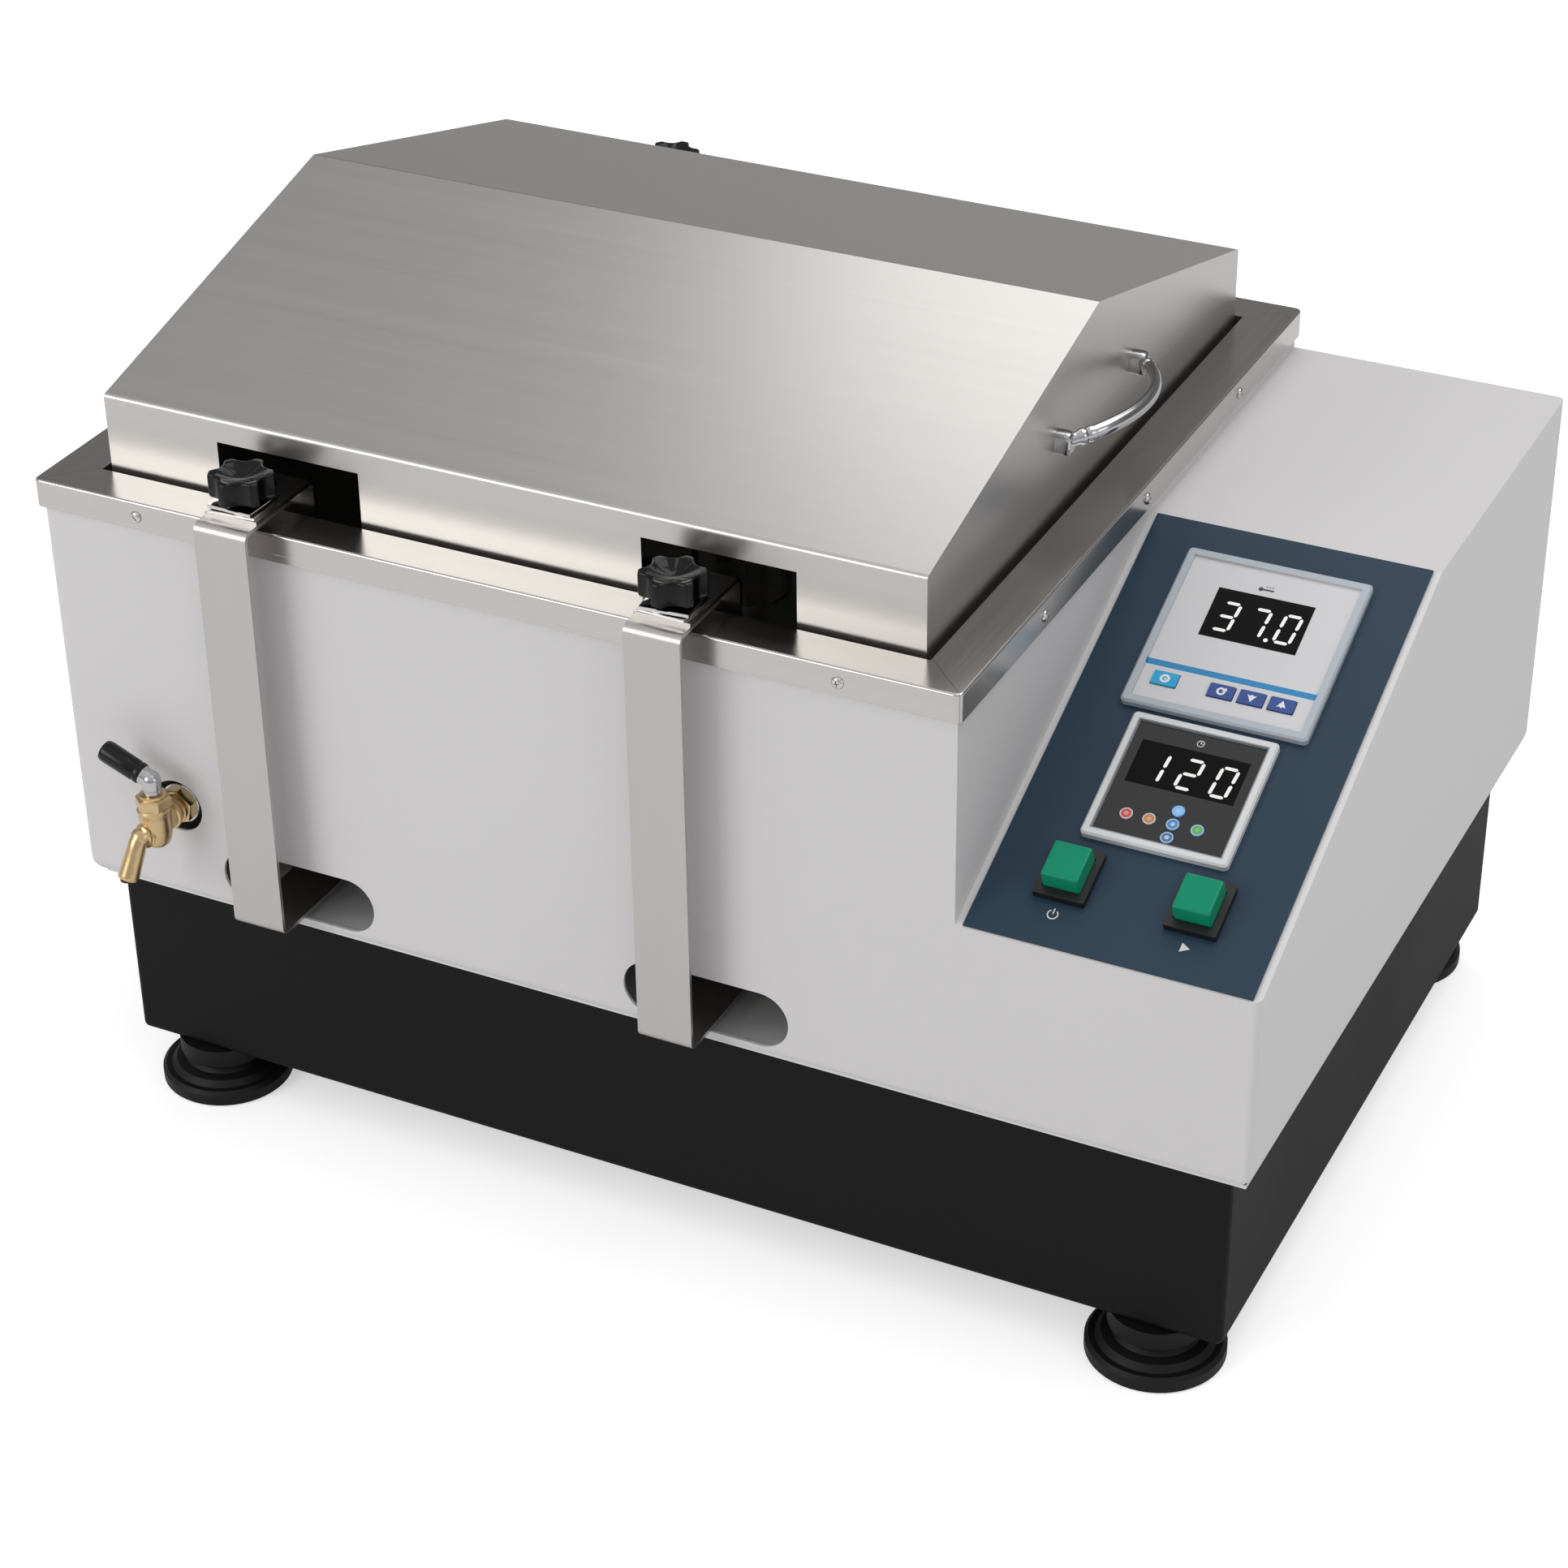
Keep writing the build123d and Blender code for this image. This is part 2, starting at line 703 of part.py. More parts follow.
# Lid: gable shell, open below, with arm cut-outs in its upright lips
lid_y0 = y_mid - lid_d / 2
lid_y1 = y_mid + lid_d / 2
z_lip = z_lid + lid_lip_h
z_ridge = z_lip + lid_rise
x_lid0 = x_bath - lid_w / 2
x_lid1 = x_bath + lid_w / 2
gable = math.atan2(lid_rise, lid_d / 2)
ridge_shift = lid_sheet / math.cos(gable)
lip_shift = ridge_shift - lid_sheet * math.tan(gable)
with BuildPart() as lid_shell:
    with BuildSketch(Plane.YZ.offset(x_lid0)):
        with BuildLine():
            Polyline(
                (lid_y0, z_lid),
                (lid_y0, z_lip),
                (y_mid, z_ridge),
                (lid_y1, z_lip),
                (lid_y1, z_lid),
                close=True,
            )
        make_face()
    extrude(amount=lid_w)
    bends = lid_shell.edges().filter_by(Axis.X).filter_by(lambda e: e.center().Z > z_lid + 1)
    fillet(bends, lid_bend_r)
    with BuildSketch(Plane.YZ.offset(x_lid0 + lid_sheet)):
        with BuildLine():
            Polyline(
                (lid_y0 + lid_sheet, z_lid),
                (lid_y0 + lid_sheet, z_lip - lip_shift),
                (y_mid, z_ridge - ridge_shift),
                (lid_y1 - lid_sheet, z_lip - lip_shift),
                (lid_y1 - lid_sheet, z_lid),
                close=True,
            )
        make_face()
    extrude(amount=lid_w - 2 * lid_sheet, mode=Mode.SUBTRACT)
    with BuildSketch(Plane.XZ.offset(-lid_y0)):
        with Locations([(x, z_lid) for x in slot_xs]):
            Rectangle(cut_w, cut_top, align=(Align.CENTER, Align.MIN))
    extrude(amount=-2 * lid_sheet, mode=Mode.SUBTRACT)
    with BuildSketch(Plane.XZ.offset(-lid_y1)):
        with Locations((slot_xs[0], z_lid)):
            Rectangle(cut_w, cut_top, align=(Align.CENTER, Align.MIN))
    extrude(amount=2 * lid_sheet, mode=Mode.SUBTRACT)
save(lid_shell.part, "lid_shell")

# Lid handles: a bowed rod between two round feet on each gable end
z_handle = z_lid + handle_h
tilt = math.radians(handle_tilt)
with BuildPart() as lid_handles:
    for side, x_wall in ((1, x_lid1), (-1, x_lid0)):
        bow_x = Vector(side * math.cos(tilt), 0, math.sin(tilt))
        bow_plane = Plane(
            origin=(x_wall, y_mid, z_handle),
            x_dir=bow_x,
            z_dir=bow_x.cross(Vector(0, 1, 0)),
        )
        with BuildSketch(Plane.YZ.offset(x_wall)):
            with Locations([(y_mid + i * handle_span / 2, z_handle) for i in (-1, 1)]):
                Circle(handle_foot_r)
        extrude(amount=side * handle_foot_l)
        with BuildLine(bow_plane) as bow:
            ThreePointArc(
                (handle_foot_l / 2, -handle_span / 2),
                (handle_out, 0),
                (handle_foot_l / 2, handle_span / 2),
            )
        with BuildSketch(Plane(origin=bow.line @ 0, z_dir=bow.line % 0)):
            Circle(handle_rod_r)
        sweep()
save(lid_handles.part, "lid_handles")

# Left carrier strap: front arm, run under the tank and rear arm, bent from one strip
y_arm = y_front - arm_out + arm_t / 2
y_arm_rear = y_back + arm_out - arm_t / 2
z_arm_mid = z_arm - arm_t / 2
with BuildPart() as carrier_strap_left:
    with BuildSketch(Plane.YZ.offset(x_arm_left - arm_w / 2)):
        with BuildLine():
            FilletPolyline(
                (y_front - arm_out + arm_shelf, z_arm_mid),
                (y_arm, z_arm_mid),
                (y_arm, z_strap + arm_t / 2),
                (y_arm_rear, z_strap + arm_t / 2),
                (y_arm_rear, z_arm_mid),
                (y_back + arm_out - arm_shelf, z_arm_mid),
                radius=arm_bend_r,
            )
        trace(line_width=arm_t)
    extrude(amount=arm_w)
save(carrier_strap_left.part, "carrier_strap_left")

# Right carrier arm: the same front bend, ending under the carriage plate
y_arm_end = y_mid + arm_end_in
with BuildPart() as carrier_arm_right:
    with BuildSketch(Plane.YZ.offset(x_arm_right - arm_w / 2)):
        with BuildLine():
            FilletPolyline(
                (y_front - arm_out + arm_shelf, z_arm_mid),
                (y_arm, z_arm_mid),
                (y_arm, z_strap + arm_t / 2),
                (y_arm_end, z_strap + arm_t / 2),
                radius=arm_bend_r,
            )
        trace(line_width=arm_t)
    extrude(amount=arm_w)
save(carrier_arm_right.part, "carrier_arm_right")

# Carriage plate on the straps, with the yoke slot that the crank pin works in
plate_d = rod_ys[1] - rod_ys[0] + bearing_w + 2 * plate_edge
yoke_l = stroke + 2 * roller_r + 2 * yoke_spare
with BuildPart() as carriage_plate:
    with BuildSketch(Plane.XY.offset(z_plate)):
        with Locations((x_rest, y_mid)):
            RectangleRounded(plate_w, plate_d, plate_edge)
            SlotOverall(yoke_l + yoke_slot_w, yoke_slot_w, rotation=90, mode=Mode.SUBTRACT)
    extrude(amount=plate_t)
save(carriage_plate.part, "carriage_plate")

# Linear bearings on the plate
z_bearing = z_plate + plate_t
bearing_h = 2 * (z_rod - z_bearing)
bearing_xs = (x_rest - bearing_pitch / 2, x_rest + bearing_pitch / 2)
with BuildPart() as linear_bearings:
    with BuildSketch(Plane.XY.offset(z_bearing)):
        with Locations([(x, y) for x in bearing_xs for y in rod_ys]):
            Rectangle(bearing_l, bearing_w)
    extrude(amount=bearing_h)
    with BuildSketch(Plane.YZ.offset(x_rest - plate_w / 2)):
        with Locations([(y, z_rod) for y in rod_ys]):
            Circle(rod_r + run_gap)
    extrude(amount=plate_w, mode=Mode.SUBTRACT)
save(linear_bearings.part, "linear_bearings")

# Guide rods and the supports that carry them on the deck
z_deck = z_body + deck_z + deck_t
with BuildPart() as guide_rods:
    with BuildSketch(Plane.YZ.offset(x_bath - rod_half_l)):
        with Locations([(y, z_rod) for y in rod_ys]):
            Circle(rod_r)
    extrude(amount=2 * rod_half_l)
save(guide_rods.part, "guide_rods")

support_xs = (x_bath - rod_half_l + support_l / 2, x_bath + rod_half_l - support_l / 2)
with BuildPart() as rod_supports:
    with BuildSketch(Plane.XY.offset(z_deck)):
        with Locations([(x, y) for x in support_xs for y in rod_ys]):
            Rectangle(support_l, bearing_w)
    extrude(amount=z_rod - z_deck + rod_r + support_over)
    with BuildSketch(Plane.YZ.offset(x_bath - rod_half_l)):
        with Locations([(y, z_rod) for y in rod_ys]):
            Circle(rod_r + run_gap / 2)
    extrude(amount=2 * rod_half_l, mode=Mode.SUBTRACT)
save(rod_supports.part, "rod_supports")

# Knob studs standing on the arms
stud_places = [
    (x_arm_left, y_front + stud_inset),
    (x_arm_right, y_front + stud_inset),
    (x_arm_left, y_back - stud_inset),
]
with BuildPart() as arm_studs:
    with BuildSketch(Plane.XY.offset(z_arm)):
        with Locations(stud_places):
            Circle(stud_r)
    extrude(amount=stud_l)
save(arm_studs.part, "arm_studs")

# Hangers: from the arm tops in over the rim, down inside the tank to the tray
z_tray = z_body + tray_z
y_hang_front = y_mid - tank_d / 2 + sheet + hanger_gap
y_hang_rear = y_mid + tank_d / 2 - sheet - hanger_gap
hanger_specs = (
    ("hanger_front_left", x_arm_left, -1),
    ("hanger_front_right", x_arm_right, -1),
    ("hanger_rear_left", x_arm_left, 1),
)
z_hang_mid = z_arm + arm_t / 2
for name, x, end in hanger_specs:
    y_out = y_front - hanger_reach if end < 0 else y_back + hanger_reach
    y_in = y_hang_front + arm_t / 2 if end < 0 else y_hang_rear - arm_t / 2
    y_stud = y_front + stud_inset if end < 0 else y_back - stud_inset
    with BuildPart() as hanger:
        with BuildSketch(Plane.YZ.offset(x - arm_w / 2)):
            with BuildLine():
                FilletPolyline(
                    (y_out, z_hang_mid),
                    (y_in, z_hang_mid),
                    (y_in, z_tray - arm_t / 2),
                    (y_in - end * hanger_foot, z_tray - arm_t / 2),
                    radius=arm_bend_r,
                )
            trace(line_width=arm_t)
        extrude(amount=arm_w)
        with BuildSketch(Plane.XY.offset(z_arm)):
            with Locations((x, y_stud)):
                Circle(stud_r + run_gap)
        extrude(amount=arm_t, mode=Mode.SUBTRACT)
    save(hanger.part, name)

# Square clamp washers, two to a stud
z_washer = z_arm + arm_t
with BuildPart() as clamp_washers:
    for layer in range(2):
        with BuildSketch(Plane.XY.offset(z_washer + layer * washer_t)):
            with Locations(stud_places):
                Rectangle(washer_w - washer_step * layer, washer_d - washer_step * layer)
                Circle(stud_r + run_gap, mode=Mode.SUBTRACT)
        extrude(amount=washer_t)
save(clamp_washers.part, "clamp_washers")

# Star knobs: lobed head with a dished top on a plain hub, bored for the stud
z_knob = z_washer + 2 * washer_t
valley_turn = 90 + 180 / knob_lobes
knob_specs = (
    ("knob_front_left", stud_places[0]),
    ("knob_front_right", stud_places[1]),
    ("knob_rear_left", stud_places[2]),
)
for name, place in knob_specs:
    with BuildPart() as knob:
        with BuildSketch(Plane.XY.offset(z_knob)):
            with Locations(place):
                Circle(knob_hub_r)
        extrude(amount=knob_hub_h)
        with BuildSketch(Plane.XY.offset(z_knob + knob_hub_h)):
            with Locations(place):
                Circle(knob_r)
                with PolarLocations(knob_r + knob_valley_offset, knob_lobes, start_angle=valley_turn):
                    Circle(knob_valley_r, mode=Mode.SUBTRACT)
        extrude(amount=knob_head_h)
        chamfer(knob.faces().sort_by(Axis.Z)[-1].edges(), knob_edge)
        with BuildSketch(Plane.XY.offset(z_knob + knob_hub_h + knob_head_h)):
            with Locations(place):
                Circle(knob_dish_r)
        extrude(amount=-knob_dish, taper=30, mode=Mode.SUBTRACT)
        with BuildSketch(Plane.XY.offset(z_knob)):
            with Locations(place):
                Circle(stud_r + run_gap)
        extrude(amount=stud_l - 2 * washer_t - arm_t + 1, mode=Mode.SUBTRACT)
    save(knob.part, name)

# Shaker tray: perforated plate with upturned edges, resting on the hanger feet
tray_w = tank_w - 2 * sheet - stroke - 2 * tray_side_gap
tray_d = y_hang_rear - y_hang_front - 2 * arm_t - 2 * arm_bend_r
clamp_pitch_x = tray_w * clamp_share_x
clamp_pitch_y = tray_d * clamp_share_y
tray_hole_pitch = tray_d * tray_hole_share
with BuildPart() as shaker_tray:
    with BuildSketch(Plane.XY.offset(z_tray)):
        with Locations((x_rest, y_mid)):
            RectangleRounded(tray_w, tray_d, tray_corner_r)
    extrude(amount=tray_lip_h)
    with BuildSketch(Plane.XY.offset(z_tray + sheet)):
        with Locations((x_rest, y_mid)):
            RectangleRounded(tray_w - 2 * sheet, tray_d - 2 * sheet, tray_corner_r - sheet)
    extrude(amount=tray_lip_h, mode=Mode.SUBTRACT)
    with BuildSketch(Plane.XY.offset(z_tray)):
        with Locations((x_rest, y_mid)):
            with GridLocations(clamp_pitch_x, tray_hole_pitch, 4, 6):
                Circle(tray_hole_r)
    extrude(amount=sheet, mode=Mode.SUBTRACT)
save(shaker_tray.part, "shaker_tray")

# Flask clamps: a round foot with four spring leaves
z_clamp = z_tray + sheet
with BuildPart() as flask_clamps:
    with BuildSketch(Plane.XY.offset(z_clamp)):
        with Locations((x_rest, y_mid)):
            with GridLocations(clamp_pitch_x, clamp_pitch_y, 3, 2):
                Circle(clamp_r)
    extrude(amount=lid_sheet)
    with BuildSketch(Plane.XY.offset(z_clamp + lid_sheet)):
        with Locations((x_rest, y_mid)):
            with GridLocations(clamp_pitch_x, clamp_pitch_y, 3, 2):
                with PolarLocations(clamp_r - clamp_leaf_inset, 4, start_angle=45):
                    Rectangle(lid_sheet, clamp_leaf_w)
    extrude(amount=clamp_h)
save(flask_clamps.part, "flask_clamps")

# Crank: disc over the deck, spindle below it, pin at half the stroke to the left
with BuildPart() as crank_spindle:
    with BuildSketch(Plane.XY.offset(z_body - spindle_bottom)):
        with Locations((x_bath, y_mid)):
            Circle(spindle_r)
    extrude(amount=spindle_bottom + disc_z)
    with BuildSketch(Plane.XY.offset(z_body + disc_z)):
        with Locations((x_bath, y_mid)):
            Circle(disc_r)
    extrude(amount=disc_h)
    with BuildSketch(Plane.XY.offset(z_body + disc_z + disc_h)):
        with Locations((x_bath - crank_arm, y_mid)):
            Circle(crank_pin_r)
    extrude(amount=roller_h + pin_over)
save(crank_spindle.part, "crank_spindle")

z_roller = z_plate + plate_t / 2 - roller_h / 2
with BuildPart() as crank_roller:
    with BuildSketch(Plane.XY.offset(z_roller)):
        with Locations((x_bath - crank_arm, y_mid)):
            Circle(roller_r)
            Circle(crank_pin_r + run_gap / 2, mode=Mode.SUBTRACT)
    extrude(amount=roller_h)
save(crank_roller.part, "crank_roller")

# Spindle housing under the deck
with BuildPart() as spindle_housing:
    with BuildSketch(Plane.XY.offset(z_body + deck_z - housing_l)):
        with Locations((x_bath, y_mid)):
            Circle(housing_r)
    extrude(amount=housing_l)
    with BuildSketch(Plane.XY.offset(z_body + deck_z - bracket_t)):
        with Locations((x_bath, y_mid)):
            Circle(housing_flange_r)
    extrude(amount=bracket_t)
    with BuildSketch(Plane.XY.offset(z_body + deck_z - housing_l)):
        with Locations((x_bath, y_mid)):
            Circle(spindle_r + run_gap)
    extrude(amount=housing_l, mode=Mode.SUBTRACT)
save(spindle_housing.part, "spindle_housing")

# Pulleys and belt below the housing
z_pulley = z_body - pulley_z
with BuildPart() as crank_pulley:
    with BuildSketch(Plane.XY.offset(z_pulley)):
        with Locations((x_bath, y_mid)):
            Circle(crank_pulley_r)
    extrude(amount=pulley_h)
    with BuildSketch(Plane.XY.offset(z_pulley)):
        with Locations((x_bath, y_mid)):
            Circle(spindle_r + run_gap / 2)
            with PolarLocations(pulley_holes_r, 5):
                Circle(pulley_hole_r)
    extrude(amount=pulley_h, mode=Mode.SUBTRACT)
save(crank_pulley.part, "crank_pulley")

z_motor = z_body + deck_z - bracket_t - motor_h
with BuildPart() as motor_pulley:
    with BuildSketch(Plane.XY.offset(z_pulley)):
        with Locations((motor_x, y_mid)):
            Circle(motor_pulley_r)
    extrude(amount=pulley_h)
    with BuildSketch(Plane.XY.offset(z_pulley)):
        with Locations((motor_x, y_mid)):
            Circle(shaft_r)
    extrude(amount=z_motor + shaft_in - z_pulley)
save(motor_pulley.part, "motor_pulley")

with BuildPart() as drive_motor:
    with BuildSketch(Plane.XY.offset(z_motor)):
        with Locations((motor_x, y_mid)):
            Circle(motor_r)
    extrude(amount=motor_h)
    with BuildSketch(Plane.XY.offset(z_motor - boss_l)):
        with Locations((motor_x, y_mid)):
            Circle(boss_r)
    extrude(amount=boss_l)
    chamfer(drive_motor.faces().sort_by(Axis.Z)[-1].edges(), motor_edge)
    with BuildSketch(Plane.XY.offset(z_motor - boss_l)):
        with Locations((motor_x, y_mid)):
            Circle(shaft_r + run_gap)
    extrude(amount=boss_l + shaft_in + 1, mode=Mode.SUBTRACT)
save(drive_motor.part, "drive_motor")

bracket_w = 2 * (motor_r + bracket_margin)
with BuildPart() as motor_bracket:
    with BuildSketch(Plane.XY.offset(z_body + deck_z - bracket_t)):
        with Locations((motor_x, y_mid)):
            RectangleRounded(bracket_w, bracket_w, bracket_corner_r)
    extrude(amount=bracket_t)
save(motor_bracket.part, "motor_bracket")

belt_mid_z = z_pulley + pulley_h / 2
belt_in_big = crank_pulley_r + run_gap
belt_in_small = motor_pulley_r + run_gap
wrap = math.acos((belt_in_big - belt_in_small) / motor_offset)


def belt_loop(big, small):
    """Outline of an open belt round both pulleys, at the given two radii."""
    c = math.cos(wrap)
    s = math.sin(wrap)
    big_up = (x_bath + big * c, y_mid + big * s)
    big_down = (x_bath + big * c, y_mid - big * s)
    small_up = (motor_x + small * c, y_mid + small * s)
    small_down = (motor_x + small * c, y_mid - small * s)
    Line(big_up, small_up)
    ThreePointArc(small_up, (motor_x + small, y_mid), small_down)
    Line(small_down, big_down)
    ThreePointArc(big_down, (x_bath - big, y_mid), big_up)


with BuildPart() as drive_belt:
    with BuildSketch(Plane.XY.offset(belt_mid_z - belt_w / 2)):
        with BuildLine():
            belt_loop(belt_in_big + belt_t, belt_in_small + belt_t)
        make_face()
        with BuildLine():
            belt_loop(belt_in_big, belt_in_small)
        make_face(mode=Mode.SUBTRACT)
    extrude(amount=belt_w)
save(drive_belt.part, "drive_belt")

# Panel plate on the slope
outward = Axis(panel_plane.origin, slope_normal)
with BuildPart() as panel_plate:
    with BuildSketch(panel_plane):
        with Locations((panel_w / 2, panel_l / 2)):
            Rectangle(panel_w, panel_l)
        with Locations((upper_u, upper_s)):
            Rectangle(upper_w - 2 * frame_w, upper_l - 2 * frame_w, mode=Mode.SUBTRACT)
        with Locations((lower_u, lower_s)):
            Rectangle(lower_w - 2 * frame_w, lower_l - 2 * frame_w, mode=Mode.SUBTRACT)
        with Locations(switch_places):
            Rectangle(switch_w - 2 * switch_lap, switch_l - 2 * switch_lap, mode=Mode.SUBTRACT)
    extrude(amount=panel_t)
save(panel_plate.part, "panel_plate")

# Controllers: a bezel over the panel, a recessed face and a housing behind it
upper_key_places = [(u, upper_key_s) for u in upper_key_us]
key_names = (
    ("temperature_key_set", "temperature_key_mode", "temperature_key_down", "temperature_key_up"),
    (
        "timer_key_stop",
        "timer_key_hold",
        "timer_key_up",
        "timer_key_select",
        "timer_key_down",
        "timer_key_run",
    ),
)
controller_specs = (
    ("temperature_controller", upper_w, upper_l, upper_u, upper_s, upper_window),
    ("timer_controller", lower_w, lower_l, lower_u, lower_s, lower_window),
)
for name, w, l, u, s, window in controller_specs:
    with BuildPart() as controller:
        with BuildSketch(panel_plane.offset(panel_t)):
            with Locations((u, s)):
                RectangleRounded(w, l, bezel_corner_r)
        extrude(amount=bezel_h)
        chamfer(controller.faces().sort_by(outward)[-1].edges(), bezel_edge)
        with BuildSketch(panel_plane.offset(panel_t + bezel_h)):
            with Locations((u, s)):
                Rectangle(w - 2 * frame_w, l - 2 * frame_w)
        extrude(amount=-face_drop, mode=Mode.SUBTRACT)
        with BuildSketch(panel_plane.offset(panel_t)):
            with Locations((u, s)):
                Rectangle(w - 2 * frame_w - 2 * fit_gap, l - 2 * frame_w - 2 * fit_gap)
        extrude(amount=-controller_depth)
        with BuildSketch(panel_plane.offset(panel_t + bezel_h - face_drop)):
            with Locations((window[2], window[3])):
                Rectangle(window[0], window[1])
            if w == upper_w:
                with Locations(upper_key_places):
                    Rectangle(upper_key_w + 2 * fit_gap, upper_key_l + 2 * fit_gap)
            else:
                with Locations(lower_key_places):
                    Circle(lower_key_r + fit_gap)
        extrude(amount=-window_t, mode=Mode.SUBTRACT)
    save(controller.part, name)

window_specs = (
    ("temperature_display", upper_window),
    ("timer_display", lower_window),
)
for name, window in window_specs:
    with BuildPart() as display:
        with BuildSketch(panel_plane.offset(panel_t + bezel_h - face_drop - window_t)):
            with Locations((window[2], window[3])):
                Rectangle(window[0], window[1])
        extrude(amount=window_t + window_over)
    save(display.part, name)

# Keys of both controllers, each free to sink by its travel
z_key = panel_t + bezel_h - face_drop - window_t + key_travel
for name, place in zip(key_names[0], upper_key_places):
    with BuildPart() as key:
        with BuildSketch(panel_plane.offset(z_key)):
            with Locations(place):
                RectangleRounded(upper_key_w, upper_key_l, 1)
        extrude(amount=window_t - key_travel + key_h)
    save(key.part, name)
for name, place in zip(key_names[1], lower_key_places):
    with BuildPart() as key:
        with BuildSketch(panel_plane.offset(z_key)):
            with Locations(place):
                Circle(lower_key_r)
        extrude(amount=window_t - key_travel + key_h)
    save(key.part, name)

# Switch bezels with their bodies, and the square push caps
with BuildPart() as switch_bezels:
    with BuildSketch(panel_plane.offset(panel_t)):
        with Locations(switch_places):
            RectangleRounded(switch_w, switch_l, 1)
    extrude(amount=bezel_h)
    with BuildSketch(panel_plane.offset(panel_t)):
        with Locations(switch_places):
            Rectangle(switch_w - 2 * switch_lap - 2 * fit_gap, switch_l - 2 * switch_lap - 2 * fit_gap)
    extrude(amount=-switch_depth)
    with BuildSketch(panel_plane.offset(panel_t + bezel_h)):
        with Locations(switch_places):
            Rectangle(cap_w + 2 * fit_gap, cap_l + 2 * fit_gap)
    extrude(amount=-(cap_h - cap_out + cap_travel), mode=Mode.SUBTRACT)
save(switch_bezels.part, "switch_bezels")

for name, place in zip(("power_button", "start_button"), switch_places):
    with BuildPart() as button:
        with BuildSketch(panel_plane.offset(panel_t + bezel_h - (cap_h - cap_out))):
            with Locations(place):
                Rectangle(cap_w, cap_l)
        extrude(amount=cap_h)
        chamfer(button.faces().sort_by(outward)[-1].edges(), cap_edge)
    save(button.part, name)

# Control circuit board on stand-offs in the control section
board_x = x_right - control_w / 2
board_y = y_mid + board_y_in
with BuildPart() as control_board:
    with BuildSketch(Plane.XY.offset(z_deck + standoff_h)):
        with Locations((board_x, board_y)):
            Rectangle(board_w, board_d)
    extrude(amount=board_t)
    with BuildSketch(Plane.XY.offset(z_deck)):
        with Locations((board_x, board_y)):
            with GridLocations(board_w - 2 * board_inset, board_d - 2 * board_inset, 2, 2):
                RegularPolygon(standoff_r, 6)
    extrude(amount=standoff_h)
    with BuildSketch(Plane.XY.offset(z_deck + standoff_h + board_t)):
        with Locations((board_x - board_w / 5, board_y - board_d / 5)):
            Rectangle(board_w * 0.42, board_d * 0.24)
        with Locations((board_x + board_w / 5, board_y + board_d / 5)):
            Rectangle(board_w * 0.3, board_d * 0.3)
    extrude(amount=chip_h)
save(control_board.part, "control_board")

# Mains inlet: flange on the rear wall, recessed socket with three blades
inlet_x = x_right - inlet_x_in
z_inlet = z_body + inlet_z
blade_places = [(inlet_x + i * blade_pitch, z_inlet + blade_h * (0.7 - abs(i))) for i in (-1, 0, 1)]
with BuildPart() as mains_inlet:
    with BuildSketch(Plane.XZ.offset(-y_back)):
        with Locations((inlet_x, z_inlet)):
            RectangleRounded(inlet_w, inlet_h, inlet_flange_t)
    extrude(amount=-inlet_flange_t)
    with BuildSketch(Plane.XZ.offset(-y_back)):
        with Locations((inlet_x, z_inlet)):
            Rectangle(inlet_body_w, inlet_body_h)
    extrude(amount=inlet_body_l)
    with BuildSketch(Plane.XZ.offset(-(y_back + inlet_flange_t))):
        with Locations((inlet_x, z_inlet)):
            Rectangle(socket_w, socket_h)
    extrude(amount=socket_l, mode=Mode.SUBTRACT)
    with BuildSketch(Plane.XZ.offset(-(y_back + inlet_flange_t - socket_l - 1))):
        with Locations(blade_places):
            Rectangle(blade_w, blade_h)
    extrude(amount=-blade_l)
save(mains_inlet.part, "mains_inlet")

# Rear service cover with vent slots
cover_x = x_right - control_w / 2
z_cover = z_body + cover_z
with BuildPart() as service_cover:
    with BuildSketch(Plane.XZ.offset(-y_back)):
        with Locations((cover_x, z_cover)):
            RectangleRounded(cover_w, cover_h, cover_corner_r)
            with GridLocations(vent_w, vent_pitch, 1, vent_count):
                Rectangle(vent_w, vent_h, mode=Mode.SUBTRACT)
    extrude(amount=-lid_sheet)
save(service_cover.part, "service_cover")

with BuildPart() as cover_screws:
    with BuildSketch(Plane.XZ.offset(-(y_back + lid_sheet))):
        with Locations((cover_x, z_cover)):
            with GridLocations(cover_w - 2 * cover_screw_in, cover_h - 2 * cover_screw_in, 2, 2):
                Circle(screw_r)
    extrude(amount=-screw_head_h)
save(cover_screws.part, "cover_screws")
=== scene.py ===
import math
import bmesh
import bpy
from mathutils import Matrix, Vector


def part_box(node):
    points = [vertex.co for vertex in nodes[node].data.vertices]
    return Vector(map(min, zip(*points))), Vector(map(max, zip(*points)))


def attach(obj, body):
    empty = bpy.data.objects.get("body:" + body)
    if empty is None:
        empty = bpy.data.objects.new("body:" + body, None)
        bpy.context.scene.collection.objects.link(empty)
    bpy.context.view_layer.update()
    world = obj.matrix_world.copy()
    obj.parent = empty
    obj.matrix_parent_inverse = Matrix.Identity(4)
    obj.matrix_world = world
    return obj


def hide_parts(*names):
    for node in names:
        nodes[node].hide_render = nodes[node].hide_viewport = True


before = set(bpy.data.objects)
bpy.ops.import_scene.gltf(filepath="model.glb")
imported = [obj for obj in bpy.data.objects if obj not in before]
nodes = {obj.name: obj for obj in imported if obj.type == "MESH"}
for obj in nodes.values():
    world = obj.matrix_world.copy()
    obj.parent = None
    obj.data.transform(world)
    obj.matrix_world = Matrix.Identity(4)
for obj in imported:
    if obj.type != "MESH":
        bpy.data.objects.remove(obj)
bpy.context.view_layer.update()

# Black drive base: folded steel tray, powder coated satin black, bolted under the white enclosure.
# The coat has a fine orange peel and slightly uneven tone, made by one shader group that
# the other painted parts use as well.


